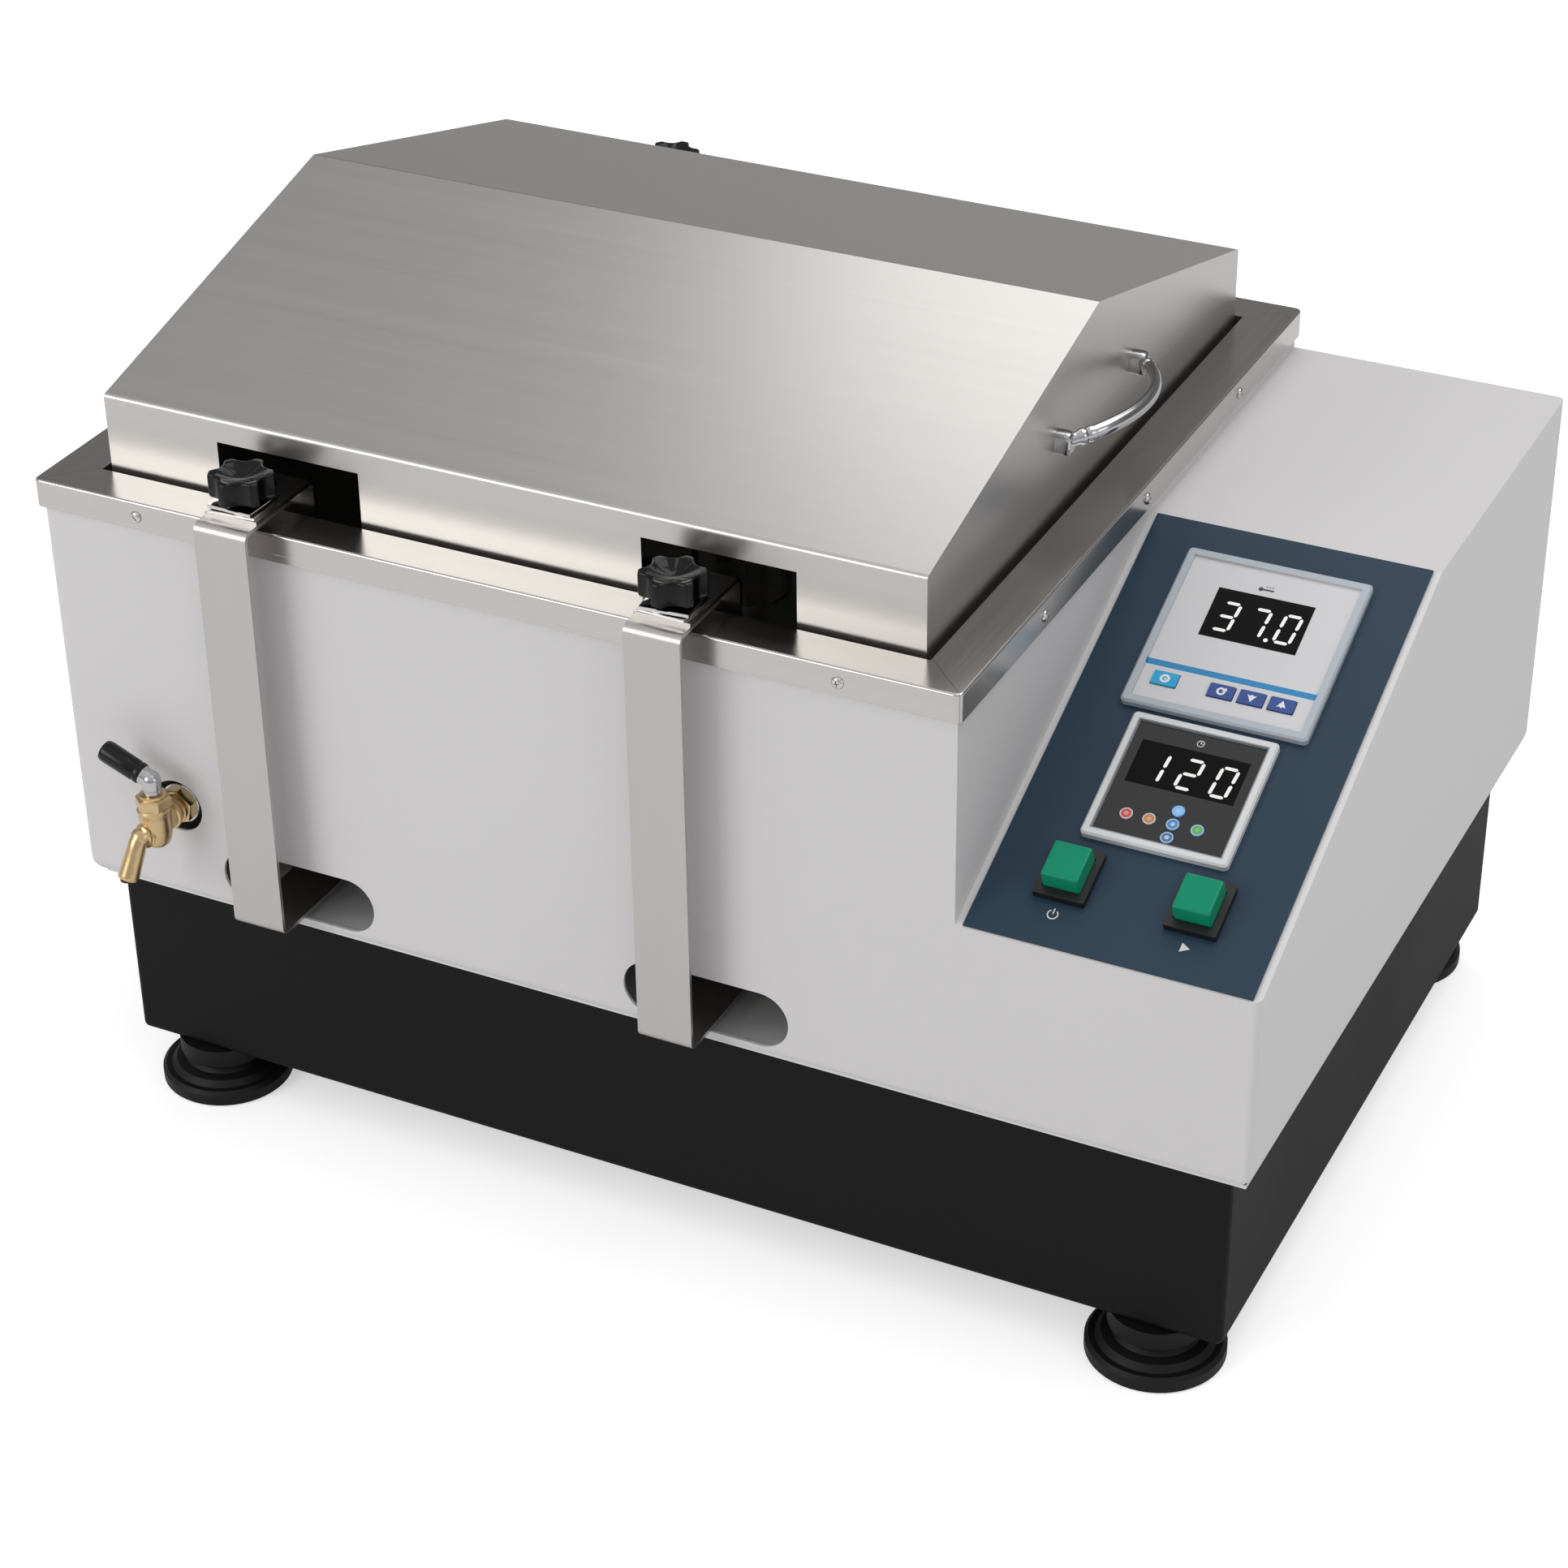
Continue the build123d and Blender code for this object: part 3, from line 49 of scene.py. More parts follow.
def shader_group(name, inputs, outputs):
    """An empty shader group with named sockets, and its input and output nodes."""
    tree = bpy.data.node_groups.new(name, "ShaderNodeTree")
    for label, kind, value in inputs:
        socket = tree.interface.new_socket(label, in_out="INPUT", socket_type=kind)
        if value is not None:
            socket.default_value = value
    for label, kind in outputs:
        tree.interface.new_socket(label, in_out="OUTPUT", socket_type=kind)
    return tree, tree.nodes.new("NodeGroupInput"), tree.nodes.new("NodeGroupOutput")


def noise_node(tree, vector, scale, detail, roughness=0.5):
    """A noise texture on the given vector socket."""
    node = tree.nodes.new("ShaderNodeTexNoise")
    tree.links.new(vector, node.inputs["Vector"])
    node.inputs["Detail"].default_value = detail
    node.inputs["Roughness"].default_value = roughness
    if isinstance(scale, float):
        node.inputs["Scale"].default_value = scale
    else:
        tree.links.new(scale, node.inputs["Scale"])
    return node.outputs["Fac"]


def math_node(tree, operation, a, b=None, c=None, clamp=False):
    """A Math node whose inputs are sockets or plain numbers."""
    node = tree.nodes.new("ShaderNodeMath")
    node.operation = operation
    node.use_clamp = clamp
    for slot, value in enumerate((a, b, c)):
        if value is None:
            continue
        if isinstance(value, (int, float)):
            node.inputs[slot].default_value = value
        else:
            tree.links.new(value, node.inputs[slot])
    return node.outputs[0]


def tinted(tree, color, factor):
    """The colour multiplied by a grey factor."""
    grey = tree.nodes.new("ShaderNodeCombineColor")
    for channel in ("Red", "Green", "Blue"):
        tree.links.new(factor, grey.inputs[channel])
    mix = tree.nodes.new("ShaderNodeMix")
    mix.data_type = "RGBA"
    mix.blend_type = "MULTIPLY"
    mix.inputs["Factor"].default_value = 1.0
    tree.links.new(color, mix.inputs[6])
    tree.links.new(grey.outputs["Color"], mix.inputs[7])
    return mix.outputs[2]


def spread(tree, factor, middle, width):
    """middle + (factor - 0.5) * width, with sockets or numbers."""
    centred = math_node(tree, "SUBTRACT", factor, 0.5)
    return math_node(tree, "MULTIPLY_ADD", centred, width, middle)


coat_group, coat_in, coat_out = shader_group(
    "powder_coat",
    (
        ("Vector", "NodeSocketVector", None),
        ("Color", "NodeSocketColor", (0.5, 0.5, 0.5, 1)),
        ("Shade Spread", "NodeSocketFloat", 0.04),
        ("Roughness", "NodeSocketFloat", 0.5),
        ("Roughness Spread", "NodeSocketFloat", 0.1),
        ("Peel Scale", "NodeSocketFloat", 900.0),
    ),
    (("Color", "NodeSocketColor"), ("Roughness", "NodeSocketFloat"), ("Height", "NodeSocketFloat")),
)
peel = noise_node(coat_group, coat_in.outputs["Vector"], coat_in.outputs["Peel Scale"], 2.0)
cloud = noise_node(coat_group, coat_in.outputs["Vector"], 7.0, 3.0)
shade = spread(coat_group, cloud, 1.0, coat_in.outputs["Shade Spread"])
coat_group.links.new(tinted(coat_group, coat_in.outputs["Color"], shade), coat_out.inputs["Color"])
rough = spread(coat_group, cloud, coat_in.outputs["Roughness"], coat_in.outputs["Roughness Spread"])
coat_group.links.new(rough, coat_out.inputs["Roughness"])
coat_group.links.new(peel, coat_out.inputs["Height"])


def new_material(name, metallic=0.0, specular=0.5, coat=0.0):
    """A material with its tree, its Principled shader and its object coordinates."""
    mat = bpy.data.materials.new(name)
    mat.use_nodes = True
    tree = mat.node_tree
    shader = tree.nodes["Principled BSDF"]
    shader.inputs["Metallic"].default_value = metallic
    shader.inputs["Specular IOR Level"].default_value = specular
    shader.inputs["Coat Weight"].default_value = coat
    place = tree.nodes.new("ShaderNodeTexCoord").outputs["Object"]
    return mat, tree, shader, place


def group_node(tree, group, **values):
    """A node of the shader group, with plain values set by socket name."""
    node = tree.nodes.new("ShaderNodeGroup")
    node.node_tree = group
    for label, value in values.items():
        node.inputs[label.replace("_", " ").title()].default_value = value
    return node


def bumped(tree, shader, height, strength, depth):
    """Feeds the shader's normal from a height socket."""
    bump = tree.nodes.new("ShaderNodeBump")
    bump.inputs["Strength"].default_value = strength
    bump.inputs["Distance"].default_value = depth
    tree.links.new(height, bump.inputs["Height"])
    tree.links.new(bump.outputs["Normal"], shader.inputs["Normal"])


def coat_on(tree, shader, place, **values):
    """A coat group node on the object coordinates that feeds the shader's colour and roughness."""
    coat_node = group_node(tree, coat_group, **values)
    tree.links.new(place, coat_node.inputs["Vector"])
    tree.links.new(coat_node.outputs["Color"], shader.inputs["Base Color"])
    tree.links.new(coat_node.outputs["Roughness"], shader.inputs["Roughness"])
    return coat_node


def coated(name, color, roughness, shade_spread=0.04, peel_scale=900.0, peel_depth=0.00004, specular=0.5):
    """A painted or moulded finish made with the coat group."""
    mat, tree, shader, place = new_material(name, specular=specular)
    coat_node = coat_on(
        tree, shader, place, color=(*color, 1), shade_spread=shade_spread, roughness=roughness,
        roughness_spread=0.12, peel_scale=peel_scale,
    )
    bumped(tree, shader, coat_node.outputs["Height"], 0.35, peel_depth)
    return mat


def dress(mat, *names):
    """Gives CAD nodes a material by their slots."""
    for name in names:
        obj = nodes[name]
        if not obj.material_slots:
            obj.data.materials.append(mat)
        for slot in obj.material_slots:
            slot.material = mat


base_paint = coated("base_black_coat", (0.0048, 0.0048, 0.0048), 0.6, 0.12, 1100.0, specular=0.16)
dress(base_paint, "base_housing")

# Four moulded rubber feet: a flared flange under a narrow neck, matt with a trace of bloom.
# They are screwed up into the base.
rubber = coated("foot_rubber_black", (0.005, 0.005, 0.0055), 0.5, 0.35, 420.0, 0.00006, specular=0.25)
dress(rubber, "rubber_feet")

# White enclosure and its rear cover: one folded steel shell, fine textured powder coat.
# The wall edges are soft, and the coat is a warm light grey.
body_paint = coated("enclosure_white_coat", (0.64, 0.627, 0.63), 0.46, 0.025, 1300.0, 0.00003)
dress(body_paint, "enclosure", "service_cover")

# Stainless sheet and fasteners. The brushed group draws fine scratches along the vector's first
# axis, with broad soft streaks, uneven polish and tone; the mapping before it sets the direction.
brush_group, brush_in, brush_out = shader_group(
    "brushed_sheet",
    (
        ("Vector", "NodeSocketVector", None),
        ("Color", "NodeSocketColor", (0.5, 0.5, 0.5, 1)),
        ("Contrast", "NodeSocketFloat", 0.12),
        ("Roughness", "NodeSocketFloat", 0.3),
        ("Roughness Spread", "NodeSocketFloat", 0.12),
    ),
    (("Color", "NodeSocketColor"), ("Roughness", "NodeSocketFloat"), ("Height", "NodeSocketFloat")),
)
fine = noise_node(brush_group, brush_in.outputs["Vector"], 1.0, 4.0, 0.65)
streak = noise_node(brush_group, brush_in.outputs["Vector"], 0.16, 2.0)
grain = math_node(brush_group, "MULTIPLY_ADD", streak, 0.45, math_node(brush_group, "MULTIPLY", fine, 0.55))
shade = spread(brush_group, grain, 1.0, brush_in.outputs["Contrast"])
brush_group.links.new(tinted(brush_group, brush_in.outputs["Color"], shade), brush_out.inputs["Color"])
rough = spread(brush_group, grain, brush_in.outputs["Roughness"], brush_in.outputs["Roughness Spread"])
brush_group.links.new(rough, brush_out.inputs["Roughness"])
brush_group.links.new(fine, brush_out.inputs["Height"])

GRAIN_LONG = 7.0
GRAIN_ACROSS = 950.0


def grain_along(tree, place, axis):
    """Object coordinates stretched so that scratches run along one axis."""
    mapping = tree.nodes.new("ShaderNodeMapping")
    scale = [GRAIN_ACROSS] * 3
    scale[axis] = GRAIN_LONG
    mapping.inputs["Scale"].default_value = scale
    tree.links.new(place, mapping.inputs["Vector"])
    return mapping.outputs["Vector"]


def mixed(tree, mask, first, second, kind="FLOAT"):
    """first where mask is 0, second where it is 1."""
    mix = tree.nodes.new("ShaderNodeMix")
    mix.data_type = kind
    tree.links.new(mask, mix.inputs["Factor"])
    a, b, out = {"FLOAT": (2, 3, 0), "VECTOR": (4, 5, 1), "RGBA": (6, 7, 2)}[kind]
    for slot, value in ((a, first), (b, second)):
        if isinstance(value, (tuple, float)):
            mix.inputs[slot].default_value = value
        else:
            tree.links.new(value, mix.inputs[slot])
    return mix.outputs[out]


def brush_on(tree, shader, vector, **values):
    """A brushed group node on the grain's vector that feeds the shader's colour and roughness."""
    brush = group_node(tree, brush_group, **values)
    tree.links.new(vector, brush.inputs["Vector"])
    tree.links.new(brush.outputs["Color"], shader.inputs["Base Color"])
    tree.links.new(brush.outputs["Roughness"], shader.inputs["Roughness"])
    return brush


def brushed(name, color, roughness, axis, contrast=0.14, rough_spread=0.14, depth=0.00003, strength=0.25):
    """A brushed metal finish with its grain along one axis."""
    mat, tree, shader, place = new_material(name, metallic=1.0)
    brush = brush_on(
        tree, shader, grain_along(tree, place, axis), color=(*color, 1), contrast=contrast,
        roughness=roughness, roughness_spread=rough_spread,
    )
    bumped(tree, shader, brush.outputs["Height"], strength, depth)
    return mat


STEEL = (0.56, 0.54, 0.52)
sheet_x = brushed("sheet_steel_grain_x", STEEL, 0.3, 0)
turned = brushed("turned_steel", (0.6, 0.59, 0.58), 0.22, 2, 0.08, 0.1)
dress(coated("deck_zinc_matt", (0.66, 0.655, 0.65), 0.6, 0.08, 500.0), "deck_plate", "motor_bracket")
dress(sheet_x, "carriage_plate", "shaker_tray", "flask_clamps")
dress(turned, "guide_rods", "arm_studs", "crank_spindle", "crank_roller")
dress(turned, "heater_element", "temperature_probe")
dress(
    brushed("machined_aluminium", (0.62, 0.62, 0.64), 0.32, 2, 0.1),
    "linear_bearings", "rod_supports", "spindle_housing", "crank_pulley", "motor_pulley",
)

# Water tank: pressed stainless pan hung under the rim, satin inside.
dress(brushed("tank_satin_steel", (0.5, 0.49, 0.47), 0.38, 0, 0.1), "water_tank")

# Rim frame: stainless top frame, mitred and welded at its corners, each side brushed along
# its own length, with the lip turned down over the enclosure.
rim_low, rim_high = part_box("rim_frame")
rim_mid = (rim_low + rim_high) / 2
rim_half = (rim_high - rim_low) / 2
SEAM = 0.00035
rim_mat, tree, shader, place = new_material("rim_mitred_steel", metallic=1.0)
split = tree.nodes.new("ShaderNodeSeparateXYZ")
tree.links.new(place, split.inputs[0])
from_edges = []
for axis in (0, 1):
    off = math_node(tree, "ABSOLUTE", math_node(tree, "SUBTRACT", split.outputs[axis], rim_mid[axis]))
    from_edges.append(math_node(tree, "SUBTRACT", rim_half[axis], off))
over = math_node(tree, "SUBTRACT", *from_edges)
on_side = math_node(tree, "LESS_THAN", over, 0.0)
seam = math_node(tree, "LESS_THAN", math_node(tree, "ABSOLUTE", over), SEAM)
vector = mixed(tree, on_side, grain_along(tree, place, 0), grain_along(tree, place, 1), "VECTOR")
brush = brush_on(
    tree, shader, vector, color=(*STEEL, 1), contrast=0.16, roughness=0.24, roughness_spread=0.14
)
seam_shade = spread(tree, seam, 0.8, -0.4)
tree.links.new(tinted(tree, brush.outputs["Color"], seam_shade), shader.inputs["Base Color"])
height = math_node(tree, "SUBTRACT", math_node(tree, "MULTIPLY", brush.outputs["Height"], 0.3), seam)
bumped(tree, shader, height, 0.3, 0.00008)
dress(rim_mat, "rim_frame")

# Lid: one gable shell of brushed stainless. The roof and long sides are brushed along the ridge,
# the two gable ends across it.
lid_low, lid_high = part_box("lid_shell")
GABLE_SKIN = 0.0009
lid_mat, tree, shader, place = new_material("lid_brushed_steel", metallic=1.0)
split = tree.nodes.new("ShaderNodeSeparateXYZ")
tree.links.new(place, split.inputs[0])
on_right = math_node(tree, "GREATER_THAN", split.outputs[0], lid_high.x - GABLE_SKIN)
on_left = math_node(tree, "LESS_THAN", split.outputs[0], lid_low.x + GABLE_SKIN)
on_gable = math_node(tree, "MAXIMUM", on_right, on_left)
vector = mixed(tree, on_gable, grain_along(tree, place, 0), grain_along(tree, place, 1), "VECTOR")
brush = brush_on(
    tree, shader, vector, color=(*STEEL, 1), contrast=0.13, roughness=0.33, roughness_spread=0.14
)
bumped(tree, shader, brush.outputs["Height"], 0.3, 0.00004)
dress(lid_mat, "lid_shell")

# Lid handles: chrome plated bow rods, oval in section, each with two turned collars and a
# rounded foot block at both ends, screwed through the gable from inside.
chrome = brushed("polished_chrome", (0.5, 0.5, 0.51), 0.11, 0, 0.03, 0.06, 0.00001, 0.1)
CREASE = 32.0


def joined_piece(bm, name, material, body, finish, *hidden):
    """Turns finished mesh work into a piece with its material, its body and the CAD nodes it stands for. The
    finish argument is not used.
    """
    bmesh.ops.remove_doubles(bm, verts=bm.verts, dist=0.000001)
    bmesh.ops.recalc_face_normals(bm, faces=bm.faces)
    mesh = bpy.data.meshes.new(name)
    bm.to_mesh(mesh)
    bm.free()
    mesh.shade_smooth()
    mesh.set_sharp_from_angle(angle=math.radians(CREASE))
    mesh.materials.append(material)
    piece = bpy.data.objects.new(name, mesh)
    bpy.context.scene.collection.objects.link(piece)
    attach(piece, body)
    if hidden:
        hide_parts(*hidden)
    return piece


def loft(bm, rings):
    """Skins closed rings of equal count, and closes both ends."""
    rows = [[bm.verts.new(point) for point in ring] for ring in rings]
    count = len(rows[0])
    for lower, upper in zip(rows, rows[1:]):
        for k in range(count):
            bm.faces.new((lower[k], lower[(k + 1) % count], upper[(k + 1) % count], upper[k]))
    for row in (rows[0], rows[-1]):
        bm.faces.new(row)


def turned_along(bm, foot, axis, profile, sides=40, start=0.0):
    """A turned solid on an axis from a list of (distance along it, radius)."""
    turn = Vector(axis).to_track_quat("Z", "X").to_matrix()
    rings = []
    for along, radius in profile:
        ring = []
        for k in range(sides):
            a = start + math.tau * k / sides
            ring.append(foot + turn @ Vector((radius * math.cos(a), radius * math.sin(a), along)))
        rings.append(ring)
    loft(bm, rings)


def swept(bm, points, side, sizes, sides=28):
    """An oval rod along points: side is one cross axis, sizes the half widths along and across it."""
    rings = []
    for k, point in enumerate(points):
        ahead = points[min(k + 1, len(points) - 1)] - points[max(k - 1, 0)]
        out = side.cross(ahead).normalized()
        flat, tall = sizes[k] if isinstance(sizes, list) else sizes
        ring = []
        for m in range(sides):
            a = math.tau * m / sides
            ring.append(point + side * (tall * math.cos(a)) + out * (flat * math.sin(a)))
        rings.append(ring)
    loft(bm, rings)


handle_low, handle_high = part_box("lid_handles")
handle_mid_y = (handle_low.y + handle_high.y) / 2
HANDLE_SPAN = 0.1
HANDLE_OUT = 0.027
HANDLE_TILT = math.radians(10.0)
HANDLE_FOOT_Z = 0.0475
FOOT_OUT = 0.008
FOOT_HALF_Y = 0.0042
FOOT_HALF_Z = 0.0062
FOOT_SQUARENESS = 0.55
FOOT_SIDES = 28
ROD_SEAT_OUT = 0.0044
ROD_HALF = (0.0033, 0.0039)
ROD_STEPS = 36
COLLARS = {5: 0.22, 6: 0.22, 8: 0.12, 9: 0.12}
NECK_THIN = 0.14
NECK_STEPS = 12
bm = bmesh.new()
for side, wall in ((1, lid_high.x), (-1, lid_low.x)):
    away = Vector((side * math.cos(HANDLE_TILT), 0, math.sin(HANDLE_TILT)))
    across = away.cross(Vector((0, 1, 0)))
    seat = Vector((wall, handle_mid_y, lid_low.z + HANDLE_FOOT_Z))
    rise = HANDLE_OUT - ROD_SEAT_OUT
    bow_r = (rise**2 + (HANDLE_SPAN / 2) ** 2) / (2 * rise)
    half_turn = math.asin(HANDLE_SPAN / 2 / bow_r)
    path, sizes = [], []
    for k in range(2 * ROD_STEPS + 1):
        a = half_turn * (k / ROD_STEPS - 1)
        along = bow_r * math.sin(a)
        out = HANDLE_OUT - bow_r * (1 - math.cos(a))
        path.append(seat + away * out + Vector((0, along, 0)))
        from_end = min(k, 2 * ROD_STEPS - k)
        neck = 1.0 - NECK_THIN * (1.0 - min(from_end / NECK_STEPS, 1.0))
        swell = neck * (1.0 + COLLARS.get(from_end, 0.0))
        sizes.append((ROD_HALF[0] * swell, ROD_HALF[1] * swell))
    swept(bm, path, across, sizes)
    for end in (-1, 1):
        rings = []
        for out, grow in ((-0.0004, 0.96), (0.0006, 1.0), (0.005, 1.0), (0.0072, 0.9), (FOOT_OUT, 0.7)):
            ring = []
            for m in range(FOOT_SIDES):
                a = math.tau * m / FOOT_SIDES
                c, t = math.cos(a), math.sin(a)
                y = math.copysign(abs(c) ** FOOT_SQUARENESS, c) * FOOT_HALF_Y * grow
                z = math.copysign(abs(t) ** FOOT_SQUARENESS, t) * FOOT_HALF_Z * grow
                ring.append(seat + Vector((side * out, end * HANDLE_SPAN / 2 + y, z)))
            rings.append(ring)
        loft(bm, rings)
joined_piece(bm, "lid_bow_handles", chrome, "lid", "handle_chrome", "lid_handles")

# Lid seal: a black rubber strip laid in the groove between the rim and the standing lid, glued to
# the rim's ledge, with a softly rounded top.
LID_GAP = 0.0035
SEAL_CLEAR = 0.0003
SEAL_H = 0.0022
bm = bmesh.new()
rows = []
for height, inset in ((0.0, 0.0), (SEAL_H * 0.7, 0.0), (SEAL_H, 0.0006)):
    for reach in (SEAL_CLEAR + inset, LID_GAP - SEAL_CLEAR - inset):
        west, east = lid_low.x - reach, lid_high.x + reach
        south, north = lid_low.y - reach, lid_high.y + reach
        corners = ((west, south), (east, south), (east, north), (west, north))
        rows.append([bm.verts.new((x, y, lid_low.z + height)) for x, y in corners])
section = [rows[k] for k in (0, 2, 4, 5, 3, 1)]
for first, second in zip(section, section[1:] + section[:1]):
    for k in range(4):
        bm.faces.new((first[k], first[(k + 1) % 4], second[(k + 1) % 4], second[k]))
joined_piece(bm, "lid_seal_strip", rubber, "cabinet", "foot_rubber")

# Carriage arms and hangers: bent stainless strip, brushed along its length. Under each knob lie
# two thin square washers with bevelled edges, each turned a little.
arm_steel = brushed("arm_strip_steel", (0.52, 0.495, 0.48), 0.36, 2, 0.08, 0.1)
dress(arm_steel, "carrier_strap_left", "carrier_arm_right")
hanger_steel = brushed("hanger_strip_steel", (0.55, 0.53, 0.51), 0.24, 1, 0.1)
dress(hanger_steel, "hanger_front_left", "hanger_front_right", "hanger_rear_left")
washer_steel = brushed("washer_steel", (0.66, 0.65, 0.64), 0.12, 0, 0.08)
WASHER_HALF = 0.0128
WASHER_EDGE = 0.0003
LOWER_WASHER = (0.00005, 0.0016)
UPPER_WASHER = (0.0021, 0.0018)
washers_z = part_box("clamp_washers")[0].z
bm = bmesh.new()
for place, lower_turn, upper_turn in (("front_left", 4, -2), ("front_right", -3, 5), ("rear_left", 3, -4)):
    low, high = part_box("knob_" + place)
    centre = (low + high) / 2
    for (foot, thick), turn in ((LOWER_WASHER, lower_turn), (UPPER_WASHER, upper_turn)):
        rings = []
        edges = ((0.0, WASHER_EDGE), (WASHER_EDGE, 0.0), (thick - WASHER_EDGE, 0.0), (thick, WASHER_EDGE))
        for rise, inset in edges:
            ring = []
            for quarter in range(4):
                a = math.radians(90 * quarter + 45 + turn)
                corner = Vector((math.cos(a), math.sin(a), 0)) * (WASHER_HALF - inset) * math.sqrt(2)
                ring.append(Vector((centre.x, centre.y, washers_z + foot + rise)) + corner)
            rings.append(ring)
        loft(bm, rings)
joined_piece(bm, "square_clamp_washers", washer_steel, "carriage", "arm_steel", "clamp_washers")

# Drive motor, belt, board and mains inlet: black painted can, rubber belt, green solder mask and
# moulded black socket, all bolted or clipped in.
dress(coated("motor_can_black", (0.03, 0.03, 0.034), 0.4, 0.1), "drive_motor")
dress(coated("belt_black", (0.018, 0.018, 0.018), 0.65, 0.2, 500.0), "drive_belt")
dress(coated("board_green", (0.02, 0.13, 0.055), 0.45, 0.25, 300.0), "control_board")
dress(coated("inlet_black", (0.012, 0.012, 0.012), 0.4, 0.1, 700.0), "mains_inlet")

# Star knobs: glossy black moulded heads with six lobes, hollow valleys and a deep dished top,
# on a short hub that the stud screws into.
knob_black = coated("knob_gloss_black", (0.003, 0.003, 0.0032), 0.13, 0.1, 260.0, 0.00002, specular=0.24)
KNOB_LOBES = 6
KNOB_TURN = math.radians(26.0)
KNOB_TIP = 0.0165
VALLEY_R = 0.008
VALLEY_AT = 0.0208
TIP_BLEND = 0.0023
BOWL_R = 0.0121
BOWL_DEEP = 0.0034
HUB_R = 0.0076
KNOB_TOP = 0.015
KNOB_SIDES = 180


def lobed(angle):
    """Distance from the axis to the knob's side at an angle: round tips and hollow valleys."""
    step = math.tau / KNOB_LOBES
    to_lobe = abs((angle - KNOB_TURN + step / 2) % step - step / 2)
    to_valley = step / 2 - to_lobe
    reach = VALLEY_AT * math.sin(to_valley)
    valley = 2 * KNOB_TIP
    if reach < VALLEY_R:
        valley = VALLEY_AT * math.cos(to_valley) - math.sqrt(VALLEY_R**2 - reach**2)
    blend = max(TIP_BLEND - abs(KNOB_TIP - valley), 0) / TIP_BLEND
    return min(KNOB_TIP, valley) - blend**2 * TIP_BLEND / 4


knob_side = (
    (0.002, 0.0022), (0.0022, 0.0012), (0.0027, 0.0004), (0.0037, 0.0), (0.0135, 0.0),
    (0.0142, 0.0002), (0.0147, 0.0006), (0.01495, 0.0011), (KNOB_TOP, 0.0015),
)
for place in ("front_left", "front_right", "rear_left"):
    low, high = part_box("knob_" + place)
    middle = (low + high) / 2
    bm = bmesh.new()
    rings = []
    angles = [math.tau * k / KNOB_SIDES for k in range(KNOB_SIDES)]
    for z, r in ((0.0, HUB_R - 0.0006), (0.0006, HUB_R), (0.0019, HUB_R)):
        rings.append([Vector((r * math.cos(a), r * math.sin(a), z)) for a in angles])
    for z, inset in knob_side:
        reach = [lobed(a) - inset for a in angles]
        rings.append([Vector((r * math.cos(a), r * math.sin(a), z)) for r, a in zip(reach, angles)])
    for share in (1.0, 0.97, 0.92, 0.84, 0.74, 0.62, 0.48, 0.32, 0.16, 0.04):
        ring = []
        for a in angles:
            edge = min(BOWL_R, lobed(a) - 0.0017)
            drop = 0.0002 + BOWL_DEEP * (1 - share**2)
            ring.append(Vector((edge * share * math.cos(a), edge * share * math.sin(a), KNOB_TOP - drop)))
        rings.append(ring)
    seat = Vector((middle.x, middle.y, low.z))
    loft(bm, [[seat + point for point in ring] for ring in rings])
    node = "knob_" + place
    joined_piece(bm, "star_" + node, knob_black, node + "_body", "knob_plastic", node)

# Drain tap: a cast and turned brass bib tap. Its inlet pipe comes through the hole in the wall
# with a hex nut and a steel washer; the barrel carries a hex bonnet and a collared, flared spout.
brass, tree, shader, place = new_material("tap_cast_brass", metallic=1.0)
coat_node = coat_on(
    tree, shader, place, color=(0.60, 0.44, 0.235, 1), shade_spread=0.22, roughness=0.25,
    roughness_spread=0.2, peel_scale=520.0,
)
bumped(tree, shader, coat_node.outputs["Height"], 0.4, 0.00008)
STEM_R = 0.0052
LEVER_R = 0.005
STEM_RISE = 0.0078
BARREL_DROP = 0.019
lever_low, lever_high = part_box("tap_lever")
pipe_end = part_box("drain_tap")[1].y
pivot = Vector((lever_high.x - LEVER_R, (lever_low.y + lever_high.y) / 2, lever_high.z - STEM_R))
stem_foot = pivot - Vector((0, 0, STEM_RISE))
barrel_mid = stem_foot - Vector((0, 0, BARREL_DROP))
up = Vector((0, 0, 1))
bm = bmesh.new()
turned_along(
    bm, barrel_mid, up,
    (
        (-0.012, 0.0035), (-0.0117, 0.0052), (-0.0105, 0.0066), (-0.008, 0.0076), (-0.003, 0.0084),
        (0.005, 0.0086), (0.0075, 0.0086), (0.0083, 0.0091), (0.0098, 0.0091), (0.0105, 0.0084),
        (0.0115, 0.0084),
    ),
)
turned_along(
    bm, barrel_mid, up, ((0.011, 0.0084), (0.0117, 0.0096), (0.0165, 0.0096), (0.0174, 0.0085)), 6, 0.35
)
turned_along(bm, barrel_mid, up, ((0.0172, 0.0072), (0.0186, 0.0072), (0.019, 0.0066)))
inward = Vector((0, 1, 0))
turned_along(
    bm, barrel_mid, inward,
    (
        (0.002, 0.0075), (0.0092, 0.0075), (0.0098, 0.0086), (0.0116, 0.0086), (0.0122, 0.0075),
        (0.0146, 0.0075), (0.015, 0.0083), (0.0164, 0.0083), (0.0168, 0.0075),
        (pipe_end - barrel_mid.y, 0.0075),
    ),
)
hex_nut = ((0.017, 0.0088), (0.0176, 0.0102), (0.0222, 0.0102), (0.0228, 0.0092))
turned_along(bm, barrel_mid, inward, hex_nut, 6, 0.2)
SPOUT_TURN = math.radians(20.0)
spout_out = Vector((-math.sin(SPOUT_TURN), -math.cos(SPOUT_TURN), 0))
spout_side = up.cross(spout_out)
